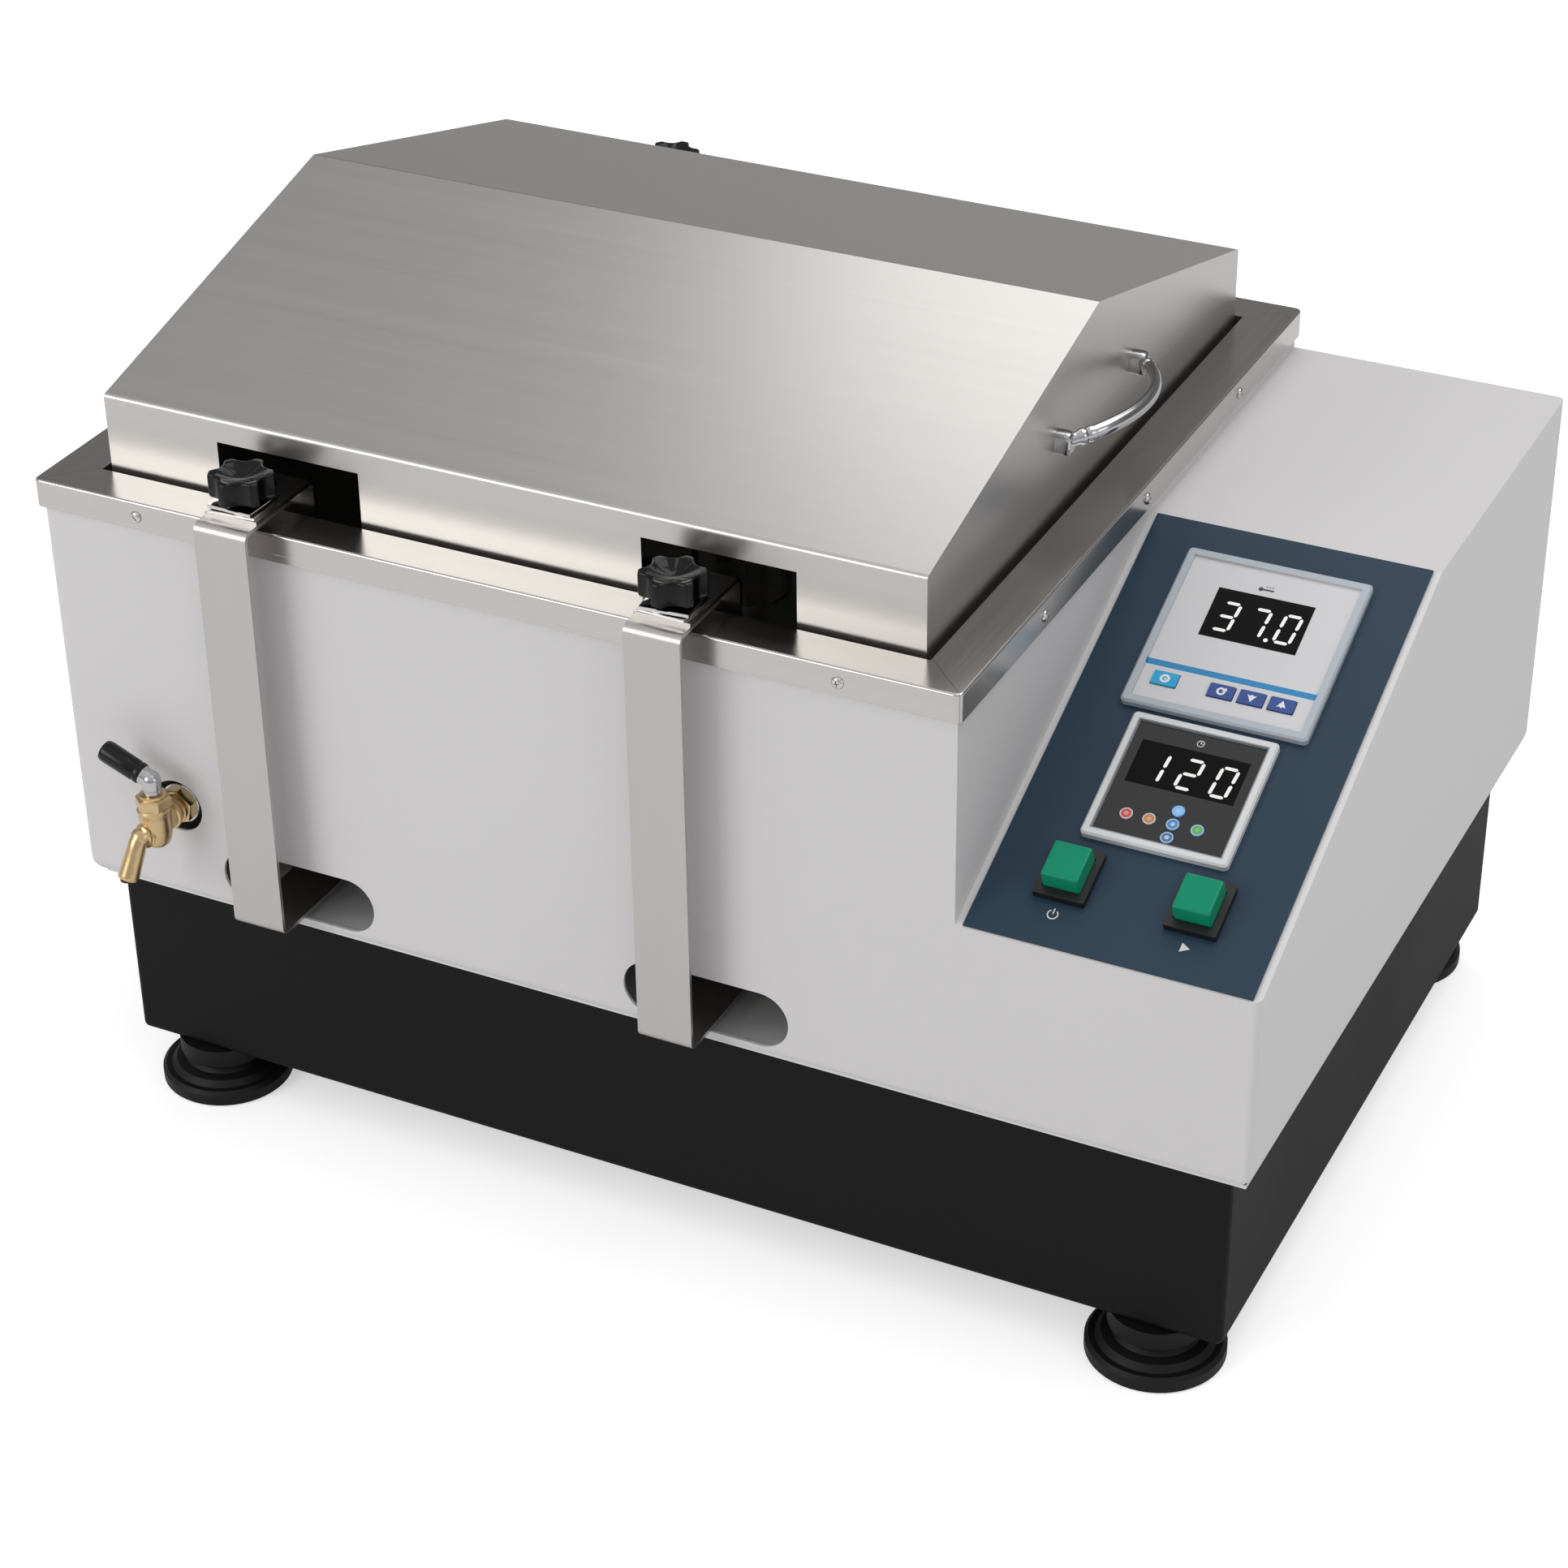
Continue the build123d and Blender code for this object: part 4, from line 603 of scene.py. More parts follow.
bends = (
    ((0.003, -0.0055), (0.0055, -0.004), (0.0075, -0.0032), (0.0096, -0.0037)),
    ((0.0096, -0.0037), (0.0118, -0.0044), (0.0131, -0.0075), (0.0146, -0.0112)),
    ((0.0146, -0.0112), (0.0166, -0.0158), (0.0188, -0.0204), (0.0208, -0.0248)),
)
BEND_STEPS = 14
path = []
for bend in bends:
    for k in range(BEND_STEPS):
        t = k / BEND_STEPS
        weights = ((1 - t) ** 3, 3 * t * (1 - t) ** 2, 3 * t**2 * (1 - t), t**3)
        out = sum(w * p[0] for w, p in zip(weights, bend))
        rise = sum(w * p[1] for w, p in zip(weights, bend))
        path.append(barrel_mid + spout_out * out + up * rise)
path.append(barrel_mid + spout_out * bends[2][3][0] + up * bends[2][3][1])
SPOUT_R = 0.0054
SPOUT_LIP_R = 0.0052
THROAT_R = 0.0049
FLARE = 0.0009
FLARE_FROM = 18
spout_collars = {5: 0.0066, 6: 0.007, 7: 0.007, 8: 0.0066, 10: 0.0062, 11: 0.0064, 12: 0.0062}
last_step = len(path) - 1
sizes = []
for k in range(len(path)):
    r = spout_collars.get(k, SPOUT_R)
    if k >= FLARE_FROM:
        r = THROAT_R + FLARE * ((k - FLARE_FROM) / (last_step - FLARE_FROM)) ** 1.4
    if k == last_step:
        r = SPOUT_LIP_R
    sizes.append((r, r))
swept(bm, path, spout_side, sizes, 36)
joined_piece(bm, "drain_bib_tap", brass, "cabinet", "tap_brass", "drain_tap")

# The spout's mouth: a thin dark disc set in the closed end of the spout. It is painted shade, standing for
# the shaded hollow bore.
bm = bmesh.new()
turned_along(bm, path[-1] + up * 0.0004, -up, ((0.0, 0.0041), (0.0006, 0.0041)), 28)
joined_piece(bm, "spout_mouth", coated("spout_bore_painted_shade", (0.03, 0.02, 0.01), 0.6), "cabinet", "tap_brass")
bm = bmesh.new()
flat_washer = ((0.0222, 0.0112), (0.0226, 0.0116), (0.0242, 0.0116), (0.0246, 0.0112))
turned_along(bm, barrel_mid, inward, flat_washer)
joined_piece(bm, "tap_pipe_washer", chrome, "cabinet", "tap_chrome")

# Tap lever: chromed stem turned down to a mitred elbow, and a black phenolic grip on its arm.
GRIP_TILT = math.radians(22.0)
grip_out = Vector((-math.cos(GRIP_TILT), 0, math.sin(GRIP_TILT)))
GRIP_START = 0.0054
bm = bmesh.new()
turned_along(
    bm, stem_foot, up,
    (
        (0.0, 0.0046), (0.0006, 0.005), (0.0016, 0.005), (0.002, 0.0046), (0.0026, 0.0046),
        (0.0032, STEM_R), (STEM_RISE, STEM_R), (STEM_RISE + 0.0022, 0.0047), (STEM_RISE + 0.004, 0.0032),
        (STEM_RISE + 0.0047, 0.0012),
    ),
    16,
)
turned_along(bm, pivot, grip_out, ((0.0, 0.0046), (0.0044, 0.005), (GRIP_START, 0.005)), 24)
joined_piece(bm, "tap_chrome_stem", chrome, "tap_handle", "tap_chrome", "tap_lever")
grip_black = coated("grip_phenolic_black", (0.004, 0.004, 0.0045), 0.2, 0.2, 600.0, specular=0.3)
bm = bmesh.new()
turned_along(
    bm, pivot + grip_out * GRIP_START, grip_out,
    (
        (0.0, 0.005), (0.0003, 0.0055), (0.001, 0.0058), (0.0026, 0.0058), (0.0031, 0.0055), (0.0037, 0.0055),
        (0.0042, 0.0058), (0.012, 0.0059), (0.0215, 0.006), (0.0236, 0.0058), (0.0247, 0.0052),
        (0.0253, 0.0038),
    ),
    44,
)
joined_piece(bm, "tap_lever_grip", grip_black, "tap_handle", "grip_plastic", "tap_grip")

# Control panel: a steel plate painted satin dark blue, lying on the slope.
# Its own axes, right and up the slope from its lower left corner, place all that stands on it.
SLOPE = math.radians(23.355)
PLATE_T = 0.0015
panel_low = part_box("panel_plate")[0]
right = Vector((1, 0, 0))
upslope = Vector((0, math.cos(SLOPE), math.sin(SLOPE)))
outward = right.cross(upslope)
panel_foot = Vector((panel_low.x, panel_low.y + PLATE_T * math.sin(SLOPE), panel_low.z))


def on_panel(u, s, n=0.0):
    """A point on the panel from millimetres right, up the slope and out of it."""
    return panel_foot + (right * u + upslope * s + outward * n) / 1000


def panel_axes(tree, place, start=panel_foot):
    """Object coordinates turned into the panel's own metres from a start: right, upslope, outward."""
    mapping = tree.nodes.new("ShaderNodeMapping")
    level = Matrix.Rotation(-SLOPE, 3, "X")
    mapping.inputs["Rotation"].default_value = (-SLOPE, 0, 0)
    mapping.inputs["Location"].default_value = -(level @ start)
    tree.links.new(place, mapping.inputs["Vector"])
    split = tree.nodes.new("ShaderNodeSeparateXYZ")
    tree.links.new(mapping.outputs["Vector"], split.inputs[0])
    return split.outputs


def inside_box(tree, axes, middle, size):
    """1 inside a rectangle on the panel, given in millimetres."""
    shares = []
    for axis, centre, length in zip(axes[:2], middle, size):
        off = math_node(tree, "ABSOLUTE", math_node(tree, "SUBTRACT", axis, centre / 1000))
        shares.append(math_node(tree, "LESS_THAN", off, length / 2000))
    return math_node(tree, "MULTIPLY", *shares)


def coated_areas(name, areas, base, roughness):
    """A coat whose colour changes by areas of the panel: (middle, size, colour, roughness) each."""
    mat, tree, shader, place = new_material(name)
    coat_node = coat_on(tree, shader, place, shade_spread=0.04, roughness_spread=0.08, peel_scale=700.0)
    axes = panel_axes(tree, place)
    color, rough = (*base, 1), roughness
    for middle, size, area_color, area_rough in areas:
        mask = inside_box(tree, axes, middle, size)
        color = mixed(tree, mask, color, (*area_color, 1), "RGBA")
        rough = mixed(tree, mask, rough, area_rough)
    tree.links.new(color, coat_node.inputs["Color"])
    tree.links.new(rough, coat_node.inputs["Roughness"])
    bumped(tree, shader, coat_node.outputs["Height"], 0.3, 0.00002)
    return mat


panel_blue = coated("panel_dark_blue", (0.0165, 0.0400, 0.0660), 0.42, 0.12, 1200.0, 0.00002, specular=0.25)
dress(panel_blue, "panel_plate")

# Temperature controller: moulded grey bezel round a pale printed face, with a black window,
# a blue stripe over the keys, and flat membrane keys.
FACE_GREY = (0.585, 0.58, 0.59)
upper_middle = (72.8, 193.0)
dress(
    coated_areas(
        "temperature_controller_finish",
        (
            (upper_middle, (87.0, 91.0), FACE_GREY, 0.42),
            ((72.8, 169.8), (87.6, 3.6), (0.008, 0.21, 0.46), 0.35),
        ),
        (0.40, 0.44, 0.48), 0.3,
    ),
    "temperature_controller",
)

# Timer controller: white moulded frame round a glossy smoked face, a bright inner edge, a black
# window and six round keys.
lower_middle = (72.0, 101.0)
dress(
    coated_areas(
        "timer_controller_finish",
        (
            (lower_middle, (66.9, 68.0), (0.26, 0.27, 0.28), 0.3),
            (lower_middle, (64.9, 66.0), (0.017, 0.017, 0.018), 0.16),
        ),
        (0.62, 0.63, 0.64), 0.3,
    ),
    "timer_controller",
)
window_black = coated("display_black", (0.0015, 0.0015, 0.0015), 0.3, 0.1, 100.0, specular=0.1)
dress(window_black, "temperature_display", "timer_display")

# Display digits: seven-segment lamps under the windows, warm white, leaning a little.
lamp_white, tree, shader, place = new_material("display_lamp_white")
shader.inputs["Emission Strength"].default_value = 0.72
lamp_tone = group_node(
    tree, coat_group, color=(0.93, 0.93, 0.90, 1), shade_spread=0.1, roughness=0.5, peel_scale=300.0
)
tree.links.new(place, lamp_tone.inputs["Vector"])
tree.links.new(lamp_tone.outputs["Color"], shader.inputs["Emission Color"])
shader.inputs["Base Color"].default_value = (0.2, 0.2, 0.2, 1)
PRINT_T = 0.07


def flat_shape(bm, outline, n):
    """A thin flat shape on the panel from (u, s) corners in millimetres, at height n."""
    loft(bm, [[on_panel(u, s, h) for u, s in outline] for h in (n, n + PRINT_T)])


def bar(bm, low, high, n):
    """A thin flat rectangle on the panel between two corners."""
    flat_shape(bm, (low, (high[0], low[1]), high, (low[0], high[1])), n)


def arc_band(bm, middle, inner, outer, first, last, n, steps=28):
    """A flat ring or part of one on the panel."""
    span = [math.radians(first + (last - first) * k / steps) for k in range(steps + 1)]
    for a, b in zip(span, span[1:]):
        corners = ((outer, a), (outer, b), (inner, b), (inner, a))
        flat_shape(bm, [(middle[0] + r * math.cos(t), middle[1] + r * math.sin(t)) for r, t in corners], n)


def disc(bm, middle, radius, n, steps=24):
    """A flat round dot on the panel."""
    turns = [math.tau * k / steps for k in range(steps)]
    flat_shape(bm, [(middle[0] + radius * math.cos(t), middle[1] + radius * math.sin(t)) for t in turns], n)


SEGMENTS = {"0": "abcdef", "1": "bc", "2": "abdeg", "3": "abcdg", "7": "abc"}
DIGIT_HALF_W = 4.0
DIGIT_HALF_H = 8.6
SEGMENT_T = 1.75
SEGMENT_GAP = 0.5
DIGIT_LEAN = math.tan(math.radians(5.0))
WINDOW_TOP = 4.5
UPPER_DIGITS_S = 205.5
LOWER_DIGITS_S = 109.6
POINT_AT = (80.9, 196.6)
POINT_R = 1.15


def digit(bm, figure, u, s):
    """A seven-segment figure centred at u, s."""
    w, h = DIGIT_HALF_W, DIGIT_HALF_H
    ends = {
        "a": ((-w, h), (w, h)), "b": ((w, h), (w, 0)), "c": ((w, 0), (w, -h)), "d": ((-w, -h), (w, -h)),
        "e": ((-w, 0), (-w, -h)), "f": ((-w, h), (-w, 0)), "g": ((-w, 0), (w, 0)),
    }
    for key in SEGMENTS[figure]:
        first, last = (Vector(p) for p in ends[key])
        along = (last - first).normalized()
        across = Vector((-along.y, along.x)) * SEGMENT_T / 2
        tip = along * SEGMENT_GAP
        bevel = along * (SEGMENT_GAP + SEGMENT_T / 2)
        corners = (
            first + tip, first + bevel - across, last - bevel - across,
            last - tip, last - bevel + across, first + bevel + across,
        )
        flat_shape(bm, [(u + p.x + p.y * DIGIT_LEAN, s + p.y) for p in corners], WINDOW_TOP)


bm = bmesh.new()
for figure, u in (("3", 57.6), ("7", 73.5), ("0", 89.3)):
    digit(bm, figure, u, UPPER_DIGITS_S)
disc(bm, POINT_AT, POINT_R, WINDOW_TOP)
for figure, u in (("1", 56.4), ("2", 73.6), ("0", 91.0)):
    digit(bm, figure, u, LOWER_DIGITS_S)
joined_piece(bm, "display_digits", lamp_white, "cabinet", "display_black")

# Printed marks: a thermometer sign over the upper window, a clock sign over the lower one, and
# the plain signs for on and start under the two switches, screen printed.
FACE_TOP = 4.3
bm = bmesh.new()
disc(bm, (68.0, 226.6), 1.25, FACE_TOP)
flat_shape(bm, ((68.0, 226.1), (74.6, 226.1), (74.9, 226.6), (74.6, 227.1), (68.0, 227.1)), FACE_TOP)
for u in (70.4, 71.9, 73.4):
    bar(bm, (u, 228.0), (u + 0.4, 229.0), FACE_TOP)
ink_dark = coated("ink_dark_grey", (0.05, 0.05, 0.055), 0.5, 0.15, 400.0)
joined_piece(bm, "thermometer_sign", ink_dark, "cabinet", "display_black")
ink_white = coated("ink_white", (0.62, 0.64, 0.66), 0.5, 0.15, 400.0)
bm = bmesh.new()
arc_band(bm, (72.4, 128.6), 1.55, 1.95, 0, 360, FACE_TOP)
bar(bm, (72.2, 128.4), (72.6, 129.8), FACE_TOP)
bar(bm, (72.6, 128.4), (73.6, 128.8), FACE_TOP)
PLATE_TOP = 1.5
POWER_U = 38.9
START_U = 104.6
SIGN_S = 17.4
arc_band(bm, (POWER_U, SIGN_S), 2.2, 2.8, 125, 415, PLATE_TOP)
bar(bm, (POWER_U - 0.3, SIGN_S + 0.2), (POWER_U + 0.3, SIGN_S + 3.4), PLATE_TOP)
triangle = ((START_U - 1.7, SIGN_S - 2.6), (START_U + 2.8, SIGN_S), (START_U - 1.7, SIGN_S + 2.6))
flat_shape(bm, triangle, PLATE_TOP)
joined_piece(bm, "white_signs", ink_white, "cabinet", "timer_white")

# Membrane keys of the upper controller: one cyan and three dark blue, with white signs.
KEY_TOP = 5.1
key_white = coated("key_sign_white", (0.7, 0.72, 0.74), 0.45, 0.1, 300.0)
dress(coated("key_cyan", (0.006, 0.34, 0.62), 0.35, 0.15, 400.0), "temperature_key_set")
key_blue = coated("key_dark_blue", (0.018, 0.06, 0.25), 0.35, 0.15, 400.0)
dress(key_blue, "temperature_key_mode", "temperature_key_down", "temperature_key_up")
bm = bmesh.new()
arc_band(bm, (42.0, 160.8), 1.3, 2.6, 0, 360, KEY_TOP)
disc(bm, (42.3, 160.6), 0.6, KEY_TOP)
joined_piece(bm, "set_key_sign", key_white, "temperature_key_set_body", "key_cyan")
bm = bmesh.new()
arc_band(bm, (71.0, 160.7), 1.2, 2.3, 40, 380, KEY_TOP)
flat_shape(bm, ((71.2, 160.6), (73.9, 161.6), (72.9, 163.4)), KEY_TOP)
joined_piece(bm, "mode_key_sign", key_white, "temperature_key_mode_body", "key_blue")
KEY_ROW_S = 160.8
left_half = ((0.0, -2.0), (-0.9, -1.2), (-2.4, -1.7), (-0.5, 1.6), (0.0, 2.5))
arrow = left_half + tuple((-x, y) for x, y in left_half[3:0:-1])
for name, u, flip in (("down", 86.5, -1), ("up", 102.0, 1)):
    bm = bmesh.new()
    flat_shape(bm, [(u + x, KEY_ROW_S + flip * y) for x, y in arrow], KEY_TOP)
    joined_piece(bm, name + "_key_sign", key_white, "temperature_key_" + name + "_body", "key_blue")

# Round keys of the timer: domed caps with a pale moulded ring, and a lighter middle that is a painted
# highlight, the sheen on each dome's top.
KEY_RING_R = 0.00255
KEY_HIGHLIGHT_R = 0.00115


def round_key(name, color, ring, highlight_tone):
    """A key finish with rings about the key's own middle: the moulded ring at the edge, and a painted
    highlight in the middle.
    """
    low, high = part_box(name)
    middle = (low + high) / 2
    mat, tree, shader, place = new_material(name + "_finish", coat=0.3)
    across, along, out = panel_axes(tree, place, middle)
    squares = math_node(tree, "MULTIPLY", across, across)
    away = math_node(tree, "POWER", math_node(tree, "MULTIPLY_ADD", along, along, squares), 0.5)
    coat_node = coat_on(tree, shader, place, shade_spread=0.25, roughness=0.3, peel_scale=500.0)
    rim = math_node(tree, "GREATER_THAN", away, KEY_RING_R)
    # The lighter middle is a painted highlight: the dome's sheen put into the colour.
    highlight_spot = math_node(tree, "LESS_THAN", away, KEY_HIGHLIGHT_R)
    face = mixed(tree, rim, (*color, 1), (*ring, 1), "RGBA")
    tree.links.new(mixed(tree, highlight_spot, face, (*highlight_tone, 1), "RGBA"), coat_node.inputs["Color"])
    dress(mat, name)


PALE_RING = (0.52, 0.50, 0.50)
BLUE_RING = (0.30, 0.46, 0.66)
# The last colour of each key is its painted highlight in the middle.
round_key("timer_key_stop", (0.52, 0.045, 0.05), PALE_RING, (0.72, 0.25, 0.25))
round_key("timer_key_hold", (0.48, 0.20, 0.07), PALE_RING, (0.62, 0.33, 0.16))
round_key("timer_key_up", (0.22, 0.47, 0.80), (0.17, 0.38, 0.70), (0.30, 0.55, 0.82))
round_key("timer_key_select", (0.07, 0.20, 0.48), BLUE_RING, (0.36, 0.52, 0.72))
round_key("timer_key_down", (0.06, 0.14, 0.30), BLUE_RING, (0.45, 0.55, 0.66))
round_key("timer_key_run", (0.10, 0.36, 0.10), BLUE_RING, (0.16, 0.46, 0.12))

# Push switches: black moulded bezels snapped into the panel, and square translucent green caps
# with softly rounded edges that sink when pressed.
dress(coated("bezel_black", (0.006, 0.006, 0.0065), 0.38, 0.15, 700.0), "switch_bezels")
cap_green = coated("cap_translucent_green", (0.002, 0.235, 0.125), 0.24, 0.12, 300.0, 0.00002, specular=0.2)
CAP_HALF_U = 9.5
CAP_HALF_S = 10.25
CAP_TOP = 15.0
CAP_FOOT = 2.4
SWITCH_S = 39.8
cap_levels = (
    (CAP_FOOT, 0.0, 1.0), (13.6, 0.0, 1.0), (14.3, 0.12, 1.15), (14.75, 0.4, 1.45), (14.96, 0.85, 1.9),
    (CAP_TOP, 1.4, 2.4),
)
for name, node, u in (("power_cap", "power_button", POWER_U), ("start_cap", "start_button", START_U)):
    bm = bmesh.new()
    rings = []
    for n, inset, corner in cap_levels:
        half_u, half_s = CAP_HALF_U - inset, CAP_HALF_S - inset
        ring = []
        for quarter, (cu, cs) in enumerate(((1, 1), (-1, 1), (-1, -1), (1, -1))):
            for k in range(9):
                a = math.radians(90 * quarter + 90 * k / 8)
                across = cu * (half_u - corner) + corner * math.cos(a)
                along = cs * (half_s - corner) + corner * math.sin(a)
                ring.append(on_panel(u + across, SWITCH_S + along, n))
        rings.append(ring)
    for share, dip in ((0.8, 0.05), (0.5, 0.12), (0.15, 0.15)):
        centre = on_panel(u, SWITCH_S, CAP_TOP)
        rings.append([centre + (point - centre) * share - outward * dip / 1000 for point in rings[5]])
    loft(bm, rings)
    joined_piece(bm, name + "_green", cap_green, name, "cap_green", node)

# Rim and cover screws: stainless pan heads with a cross recess, one head placed at every hole by
# geometry nodes, each turned as its driver left it.
HEAD_R = 0.0032
HEAD_H = 0.0016
RECESS_HALF = 0.0003
RECESS_REACH = 0.0015
bm = bmesh.new()
HEAD_SIDES = 24
turns = [math.tau * k / HEAD_SIDES for k in range(HEAD_SIDES)]
rows = []
for z, share in ((0.0, 0.97), (0.0003, 1.0), (0.0007, 0.95), (0.0011, 0.84), (0.0014, 0.7)):
    r = HEAD_R * share
    rows.append([bm.verts.new((r * math.cos(a), r * math.sin(a), z)) for a in turns])
for lower, upper in zip(rows, rows[1:]):
    for k in range(HEAD_SIDES):
        bm.faces.new((lower[k], lower[k - 1], upper[k - 1], upper[k]))
bm.faces.new(rows[0])
cross = []
for quarter in range(4):
    turn = Matrix.Rotation(math.radians(90 * quarter), 3, "Z")
    for point in ((RECESS_REACH, -RECESS_HALF), (RECESS_REACH, RECESS_HALF), (RECESS_HALF, RECESS_HALF)):
        cross.append(turn @ Vector((*point, 0)))
mouth = [bm.verts.new((p.x, p.y, HEAD_H - 0.00006)) for p in cross]
floor_ring = [bm.verts.new((p.x * 0.6, p.y * 0.6, HEAD_H - 0.001)) for p in cross]
for k in range(len(cross)):
    bm.faces.new((mouth[k], mouth[k - 1], floor_ring[k - 1], floor_ring[k]))
bm.faces.new(floor_ring)
edges = [bm.edges.get((row[k], row[k - 1])) for row in (rows[-1], mouth) for k in range(len(row))]
bmesh.ops.bridge_loops(bm, edges=edges)
bmesh.ops.recalc_face_normals(bm, faces=bm.faces)
head_mesh = bpy.data.meshes.new("screw_head")
bm.to_mesh(head_mesh)
bm.free()
head_mesh.shade_smooth()
head_mesh.set_sharp_from_angle(angle=math.radians(CREASE))
head = bpy.data.objects.new("screw_head", head_mesh)
bpy.context.scene.collection.objects.link(head)
screw_steel = brushed("screw_steel", (0.60, 0.59, 0.58), 0.2, 2, 0.1, 0.12)

screws = bpy.data.node_groups.new("screws_at_holes", "GeometryNodeTree")
screws.interface.new_socket("Geometry", in_out="INPUT", socket_type="NodeSocketGeometry")
head_socket = screws.interface.new_socket("Screw Head", in_out="INPUT", socket_type="NodeSocketObject")
steel_socket = screws.interface.new_socket("Finish", in_out="INPUT", socket_type="NodeSocketMaterial")
seed_socket = screws.interface.new_socket("Turn Seed", in_out="INPUT", socket_type="NodeSocketInt")
screws.interface.new_socket("Geometry", in_out="OUTPUT", socket_type="NodeSocketGeometry")
entry = screws.nodes.new("NodeGroupInput")
leave = screws.nodes.new("NodeGroupOutput")
placed = screws.nodes.new("GeometryNodeInstanceOnPoints")
source = screws.nodes.new("GeometryNodeObjectInfo")
facing = screws.nodes.new("GeometryNodeInputNamedAttribute")
facing.data_type = "FLOAT_VECTOR"
facing.inputs["Name"].default_value = "hole_axis"
aligned = screws.nodes.new("FunctionNodeAlignRotationToVector")
aligned.axis = "Z"
spin = screws.nodes.new("FunctionNodeRandomValue")
spin.data_type = "FLOAT"
spin.inputs[3].default_value = math.pi
about = screws.nodes.new("FunctionNodeAxisAngleToRotation")
turned_head = screws.nodes.new("FunctionNodeRotateRotation")
turned_head.rotation_space = "LOCAL"
real = screws.nodes.new("GeometryNodeRealizeInstances")
finish = screws.nodes.new("GeometryNodeSetMaterial")
for start, end in (
    (entry.outputs["Geometry"], placed.inputs["Points"]),
    (entry.outputs["Screw Head"], source.inputs["Object"]),
    (source.outputs["Geometry"], placed.inputs["Instance"]),
    (facing.outputs["Attribute"], aligned.inputs["Vector"]),
    (entry.outputs["Turn Seed"], spin.inputs["Seed"]),
    (spin.outputs[1], about.inputs["Angle"]),
    (aligned.outputs["Rotation"], turned_head.inputs["Rotation"]),
    (about.outputs["Rotation"], turned_head.inputs["Rotate By"]),
    (turned_head.outputs["Rotation"], placed.inputs["Rotation"]),
    (placed.outputs["Instances"], real.inputs["Geometry"]),
    (real.outputs["Geometry"], finish.inputs["Geometry"]),
    (entry.outputs["Finish"], finish.inputs["Material"]),
    (finish.outputs["Geometry"], leave.inputs["Geometry"]),
):
    screws.links.new(start, end)


def screw_heads(name, holes, seed, node):
    """Puts a head at each (place, axis) and stands for the CAD screws."""
    mesh = bpy.data.meshes.new(name)
    mesh.from_pydata([hole for hole, axis in holes], [], [])
    axes = mesh.attributes.new("hole_axis", "FLOAT_VECTOR", "POINT")
    for k, (hole, axis) in enumerate(holes):
        axes.data[k].vector = axis
    piece = bpy.data.objects.new(name, mesh)
    bpy.context.scene.collection.objects.link(piece)
    modifier = piece.modifiers.new("screws", "NODES")
    modifier.node_group = screws
    modifier[head_socket.identifier] = head
    modifier[steel_socket.identifier] = screw_steel
    modifier[seed_socket.identifier] = seed
    built = bpy.data.meshes.new_from_object(piece.evaluated_get(bpy.context.evaluated_depsgraph_get()))
    piece.modifiers.remove(modifier)
    piece.data = built
    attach(piece, "cabinet")
    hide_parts(node)


END_INSET = 0.062
SIDE_PITCH = 0.133
SCREW_DROP = 0.00825
seat_z = rim_high.z - SCREW_DROP
holes = []
for x in (rim_low.x + END_INSET, rim_high.x - END_INSET):
    holes.append(((x, rim_low.y, seat_z), (0, -1, 0)))
    holes.append(((x, rim_high.y, seat_z), (0, 1, 0)))
for y in (rim_mid.y - SIDE_PITCH, rim_mid.y, rim_mid.y + SIDE_PITCH):
    holes.append(((rim_low.x, y, seat_z), (-1, 0, 0)))
    holes.append(((rim_high.x, y, seat_z), (1, 0, 0)))
screw_heads("rim_screw_heads", holes, 7, "rim_screws")
cover_low, cover_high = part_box("cover_screws")
plate_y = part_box("service_cover")[1].y
holes = []
for x in (cover_low.x + HEAD_R, cover_high.x - HEAD_R):
    for z in (cover_low.z + HEAD_R, cover_high.z - HEAD_R):
        holes.append(((x, plate_y, z), (0, 1, 0)))
screw_heads("cover_screw_heads", holes, 11, "cover_screws")
bpy.data.objects.remove(head)

# Floor: a wide pale sheet that shows as white to the camera and keeps a soft shadow.
bm = bmesh.new()
bmesh.ops.create_grid(bm, x_segments=1, y_segments=1, size=9.0)
floor_mesh = bpy.data.meshes.new("studio_floor")
bm.to_mesh(floor_mesh)
bm.free()
floor = bpy.data.objects.new("studio_floor", floor_mesh)
bpy.context.scene.collection.objects.link(floor)
floor_mat = bpy.data.materials.new("floor_white")
floor_mat.use_nodes = True
tree = floor_mat.node_tree
tree.nodes.remove(tree.nodes["Principled BSDF"])
paper = tree.nodes.new("ShaderNodeBsdfDiffuse")
paper.inputs["Color"].default_value = (0.82, 0.82, 0.82, 1)
glow = tree.nodes.new("ShaderNodeEmission")
rays = tree.nodes.new("ShaderNodeLightPath")
seen = math_node(tree, "MAXIMUM", rays.outputs["Is Camera Ray"], rays.outputs["Is Transmission Ray"])
in_gloss = math_node(tree, "MULTIPLY", rays.outputs["Is Glossy Ray"], 0.12)
tree.links.new(math_node(tree, "MULTIPLY_ADD", seen, 0.5, in_gloss), glow.inputs["Strength"])
surface = tree.nodes.new("ShaderNodeAddShader")
tree.links.new(paper.outputs[0], surface.inputs[0])
tree.links.new(glow.outputs[0], surface.inputs[1])
tree.links.new(surface.outputs[0], tree.nodes["Material Output"].inputs["Surface"])
floor.data.materials.append(floor_mat)

# World: a pale studio, its wall bright in front of the object and darker behind it, under a
# bright ceiling.
world = bpy.data.worlds.new("studio")
bpy.context.scene.world = world
world.use_nodes = True
tree = world.node_tree
background = tree.nodes["Background"]
direction = tree.nodes.new("ShaderNodeTexCoord").outputs["Generated"]
split = tree.nodes.new("ShaderNodeSeparateXYZ")
tree.links.new(direction, split.inputs[0])


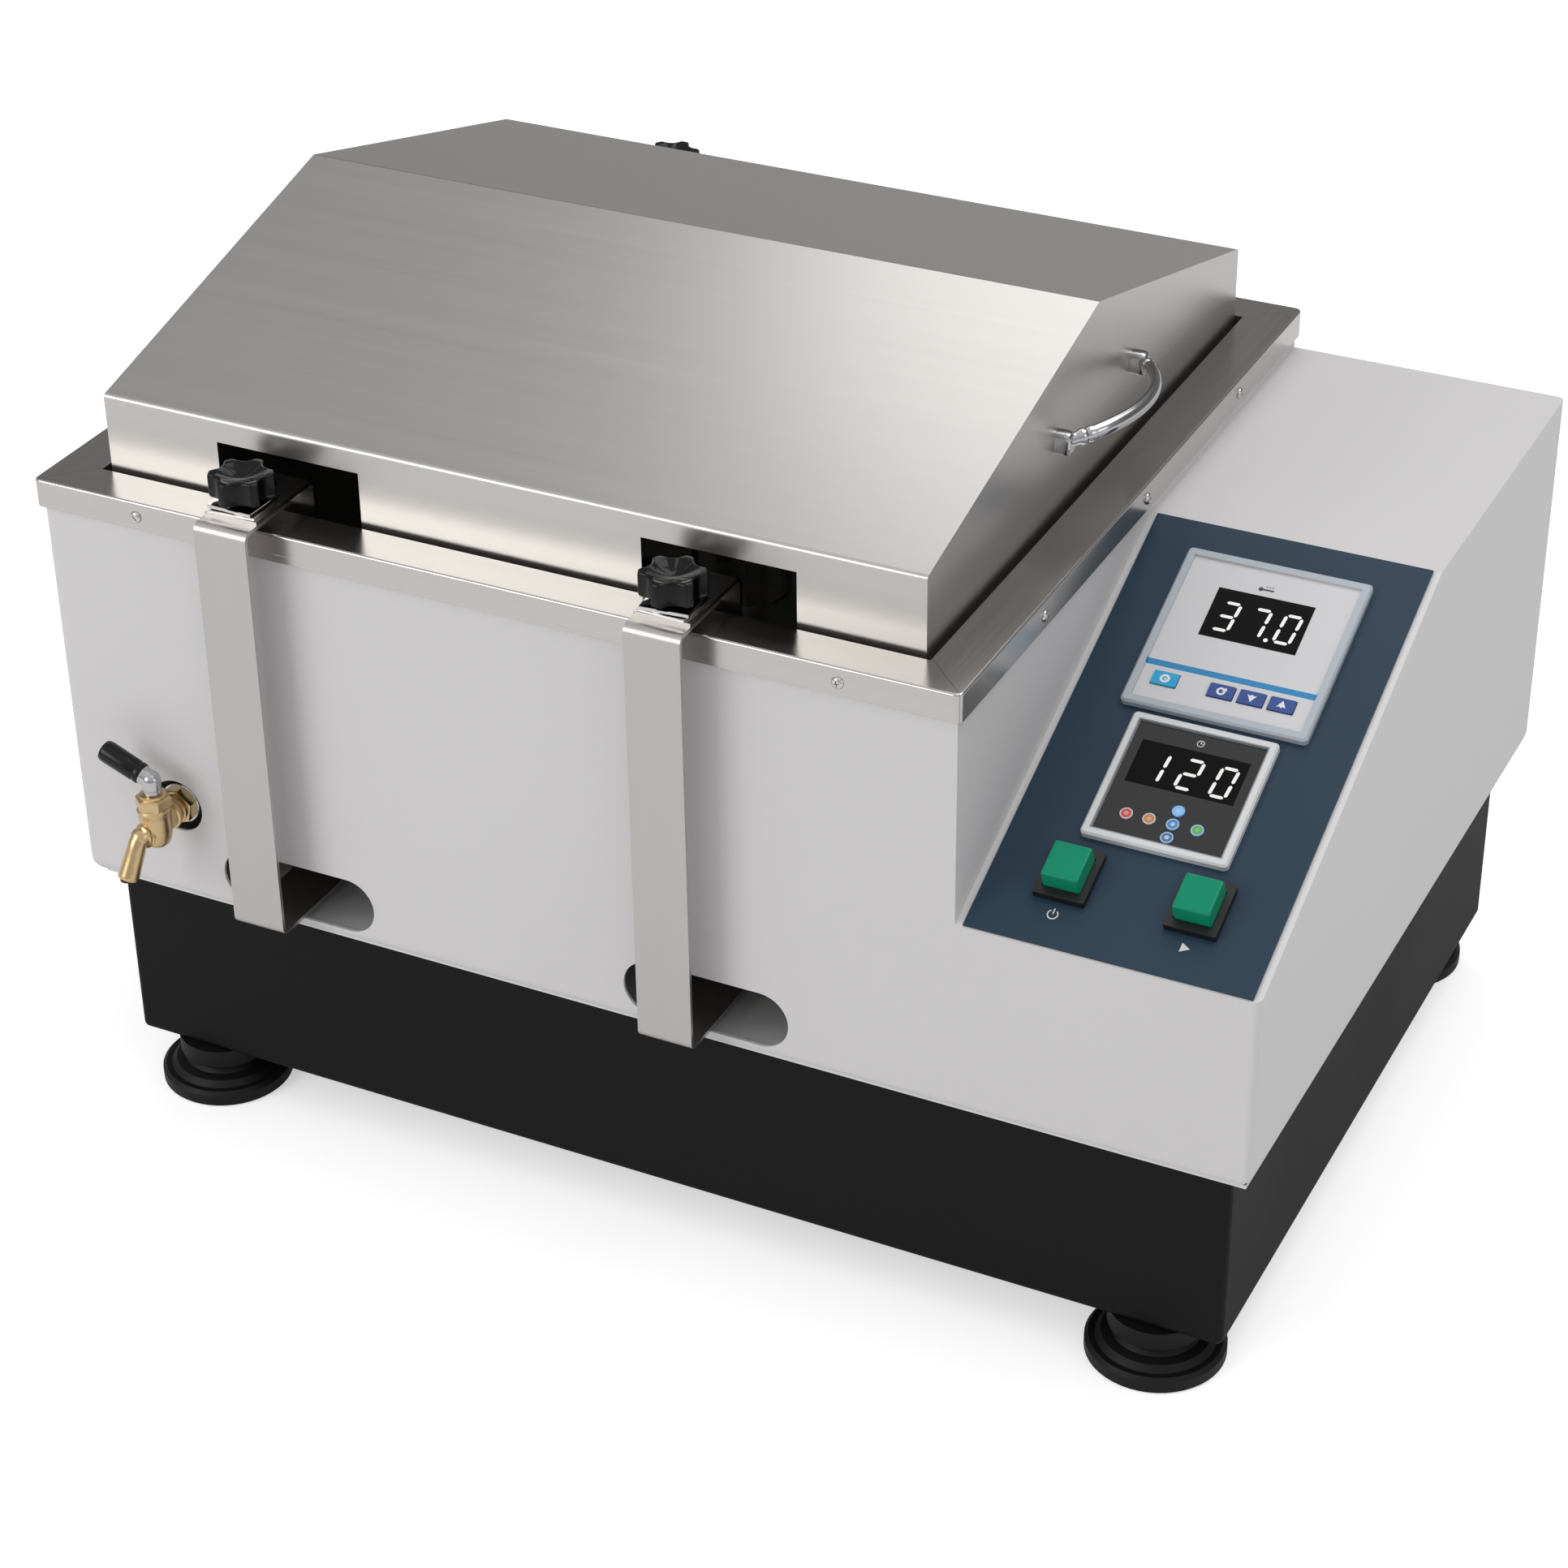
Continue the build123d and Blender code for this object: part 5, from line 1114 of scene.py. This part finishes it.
def sky_ramp(stops):
    """Brightness by height above the horizon, from (height, grey) stops."""
    node = tree.nodes.new("ShaderNodeValToRGB")
    tree.links.new(split.outputs[2], node.inputs["Fac"])
    ramp = node.color_ramp
    while len(ramp.elements) < len(stops):
        ramp.elements.new(0.5)
    for element, (height, grey) in zip(ramp.elements, stops):
        element.position = height
        element.color = (grey, grey, grey * 1.01, 1)
    return node.outputs["Color"]


behind = math_node(tree, "MULTIPLY_ADD", split.outputs[1], 1.8, 0.35, clamp=True)
sky = mixed(
    tree, behind, sky_ramp(((0.0, 0.52), (0.8, 0.95))),
    sky_ramp(((0.0, 0.28), (0.4, 0.2), (0.7, 0.5), (0.95, 1.0))), "RGBA",
)
tree.links.new(sky, background.inputs["Color"])
background.inputs["Strength"].default_value = 0.8

# Soft boxes: a broad one overhead to the right and behind, a small one over the lid's slope, and
# fills in front on the left and from the right.


def soft_box(name, place, aim, width, depth, power):
    """An area lamp at a place, turned towards the aim."""
    lamp = bpy.data.lights.new(name, "AREA")
    lamp.shape = "RECTANGLE"
    lamp.size = width
    lamp.size_y = depth
    lamp.energy = power
    obj = bpy.data.objects.new(name, lamp)
    obj.location = place
    obj.rotation_euler = (Vector(aim) - Vector(place)).to_track_quat("-Z", "Y").to_euler()
    bpy.context.scene.collection.objects.link(obj)


soft_box("key_box", (0.9, 0.6, 2.6), (0, 0, 0.3), 1.8, 1.8, 20.0)
soft_box("slope_box", (-0.15, 0.68, 1.35), (-0.15, 0.3, 0.4), 0.7, 0.5, 1.7)
soft_box("front_fill", (-1.6, -2.6, 1.6), (0, 0, 0.25), 1.8, 1.6, 32.0)
soft_box("right_fill", (2.8, -0.6, 1.2), (0, 0, 0.25), 1.4, 1.4, 6.5)

# Camera: fitted to the edges of the photographed object.
camera_data = bpy.data.cameras.new("camera")
camera_data.sensor_width = 36.0
camera_data.lens = 84.58
camera = bpy.data.objects.new("camera", camera_data)
camera.location = (0.75547, -1.54079, 1.21849)
camera.rotation_euler = [math.radians(a) for a in (58.2136, 0.6471, 26.1545)]
bpy.context.scene.collection.objects.link(camera)
bpy.context.scene.camera = camera
bpy.context.scene.view_settings.view_transform = "Standard"
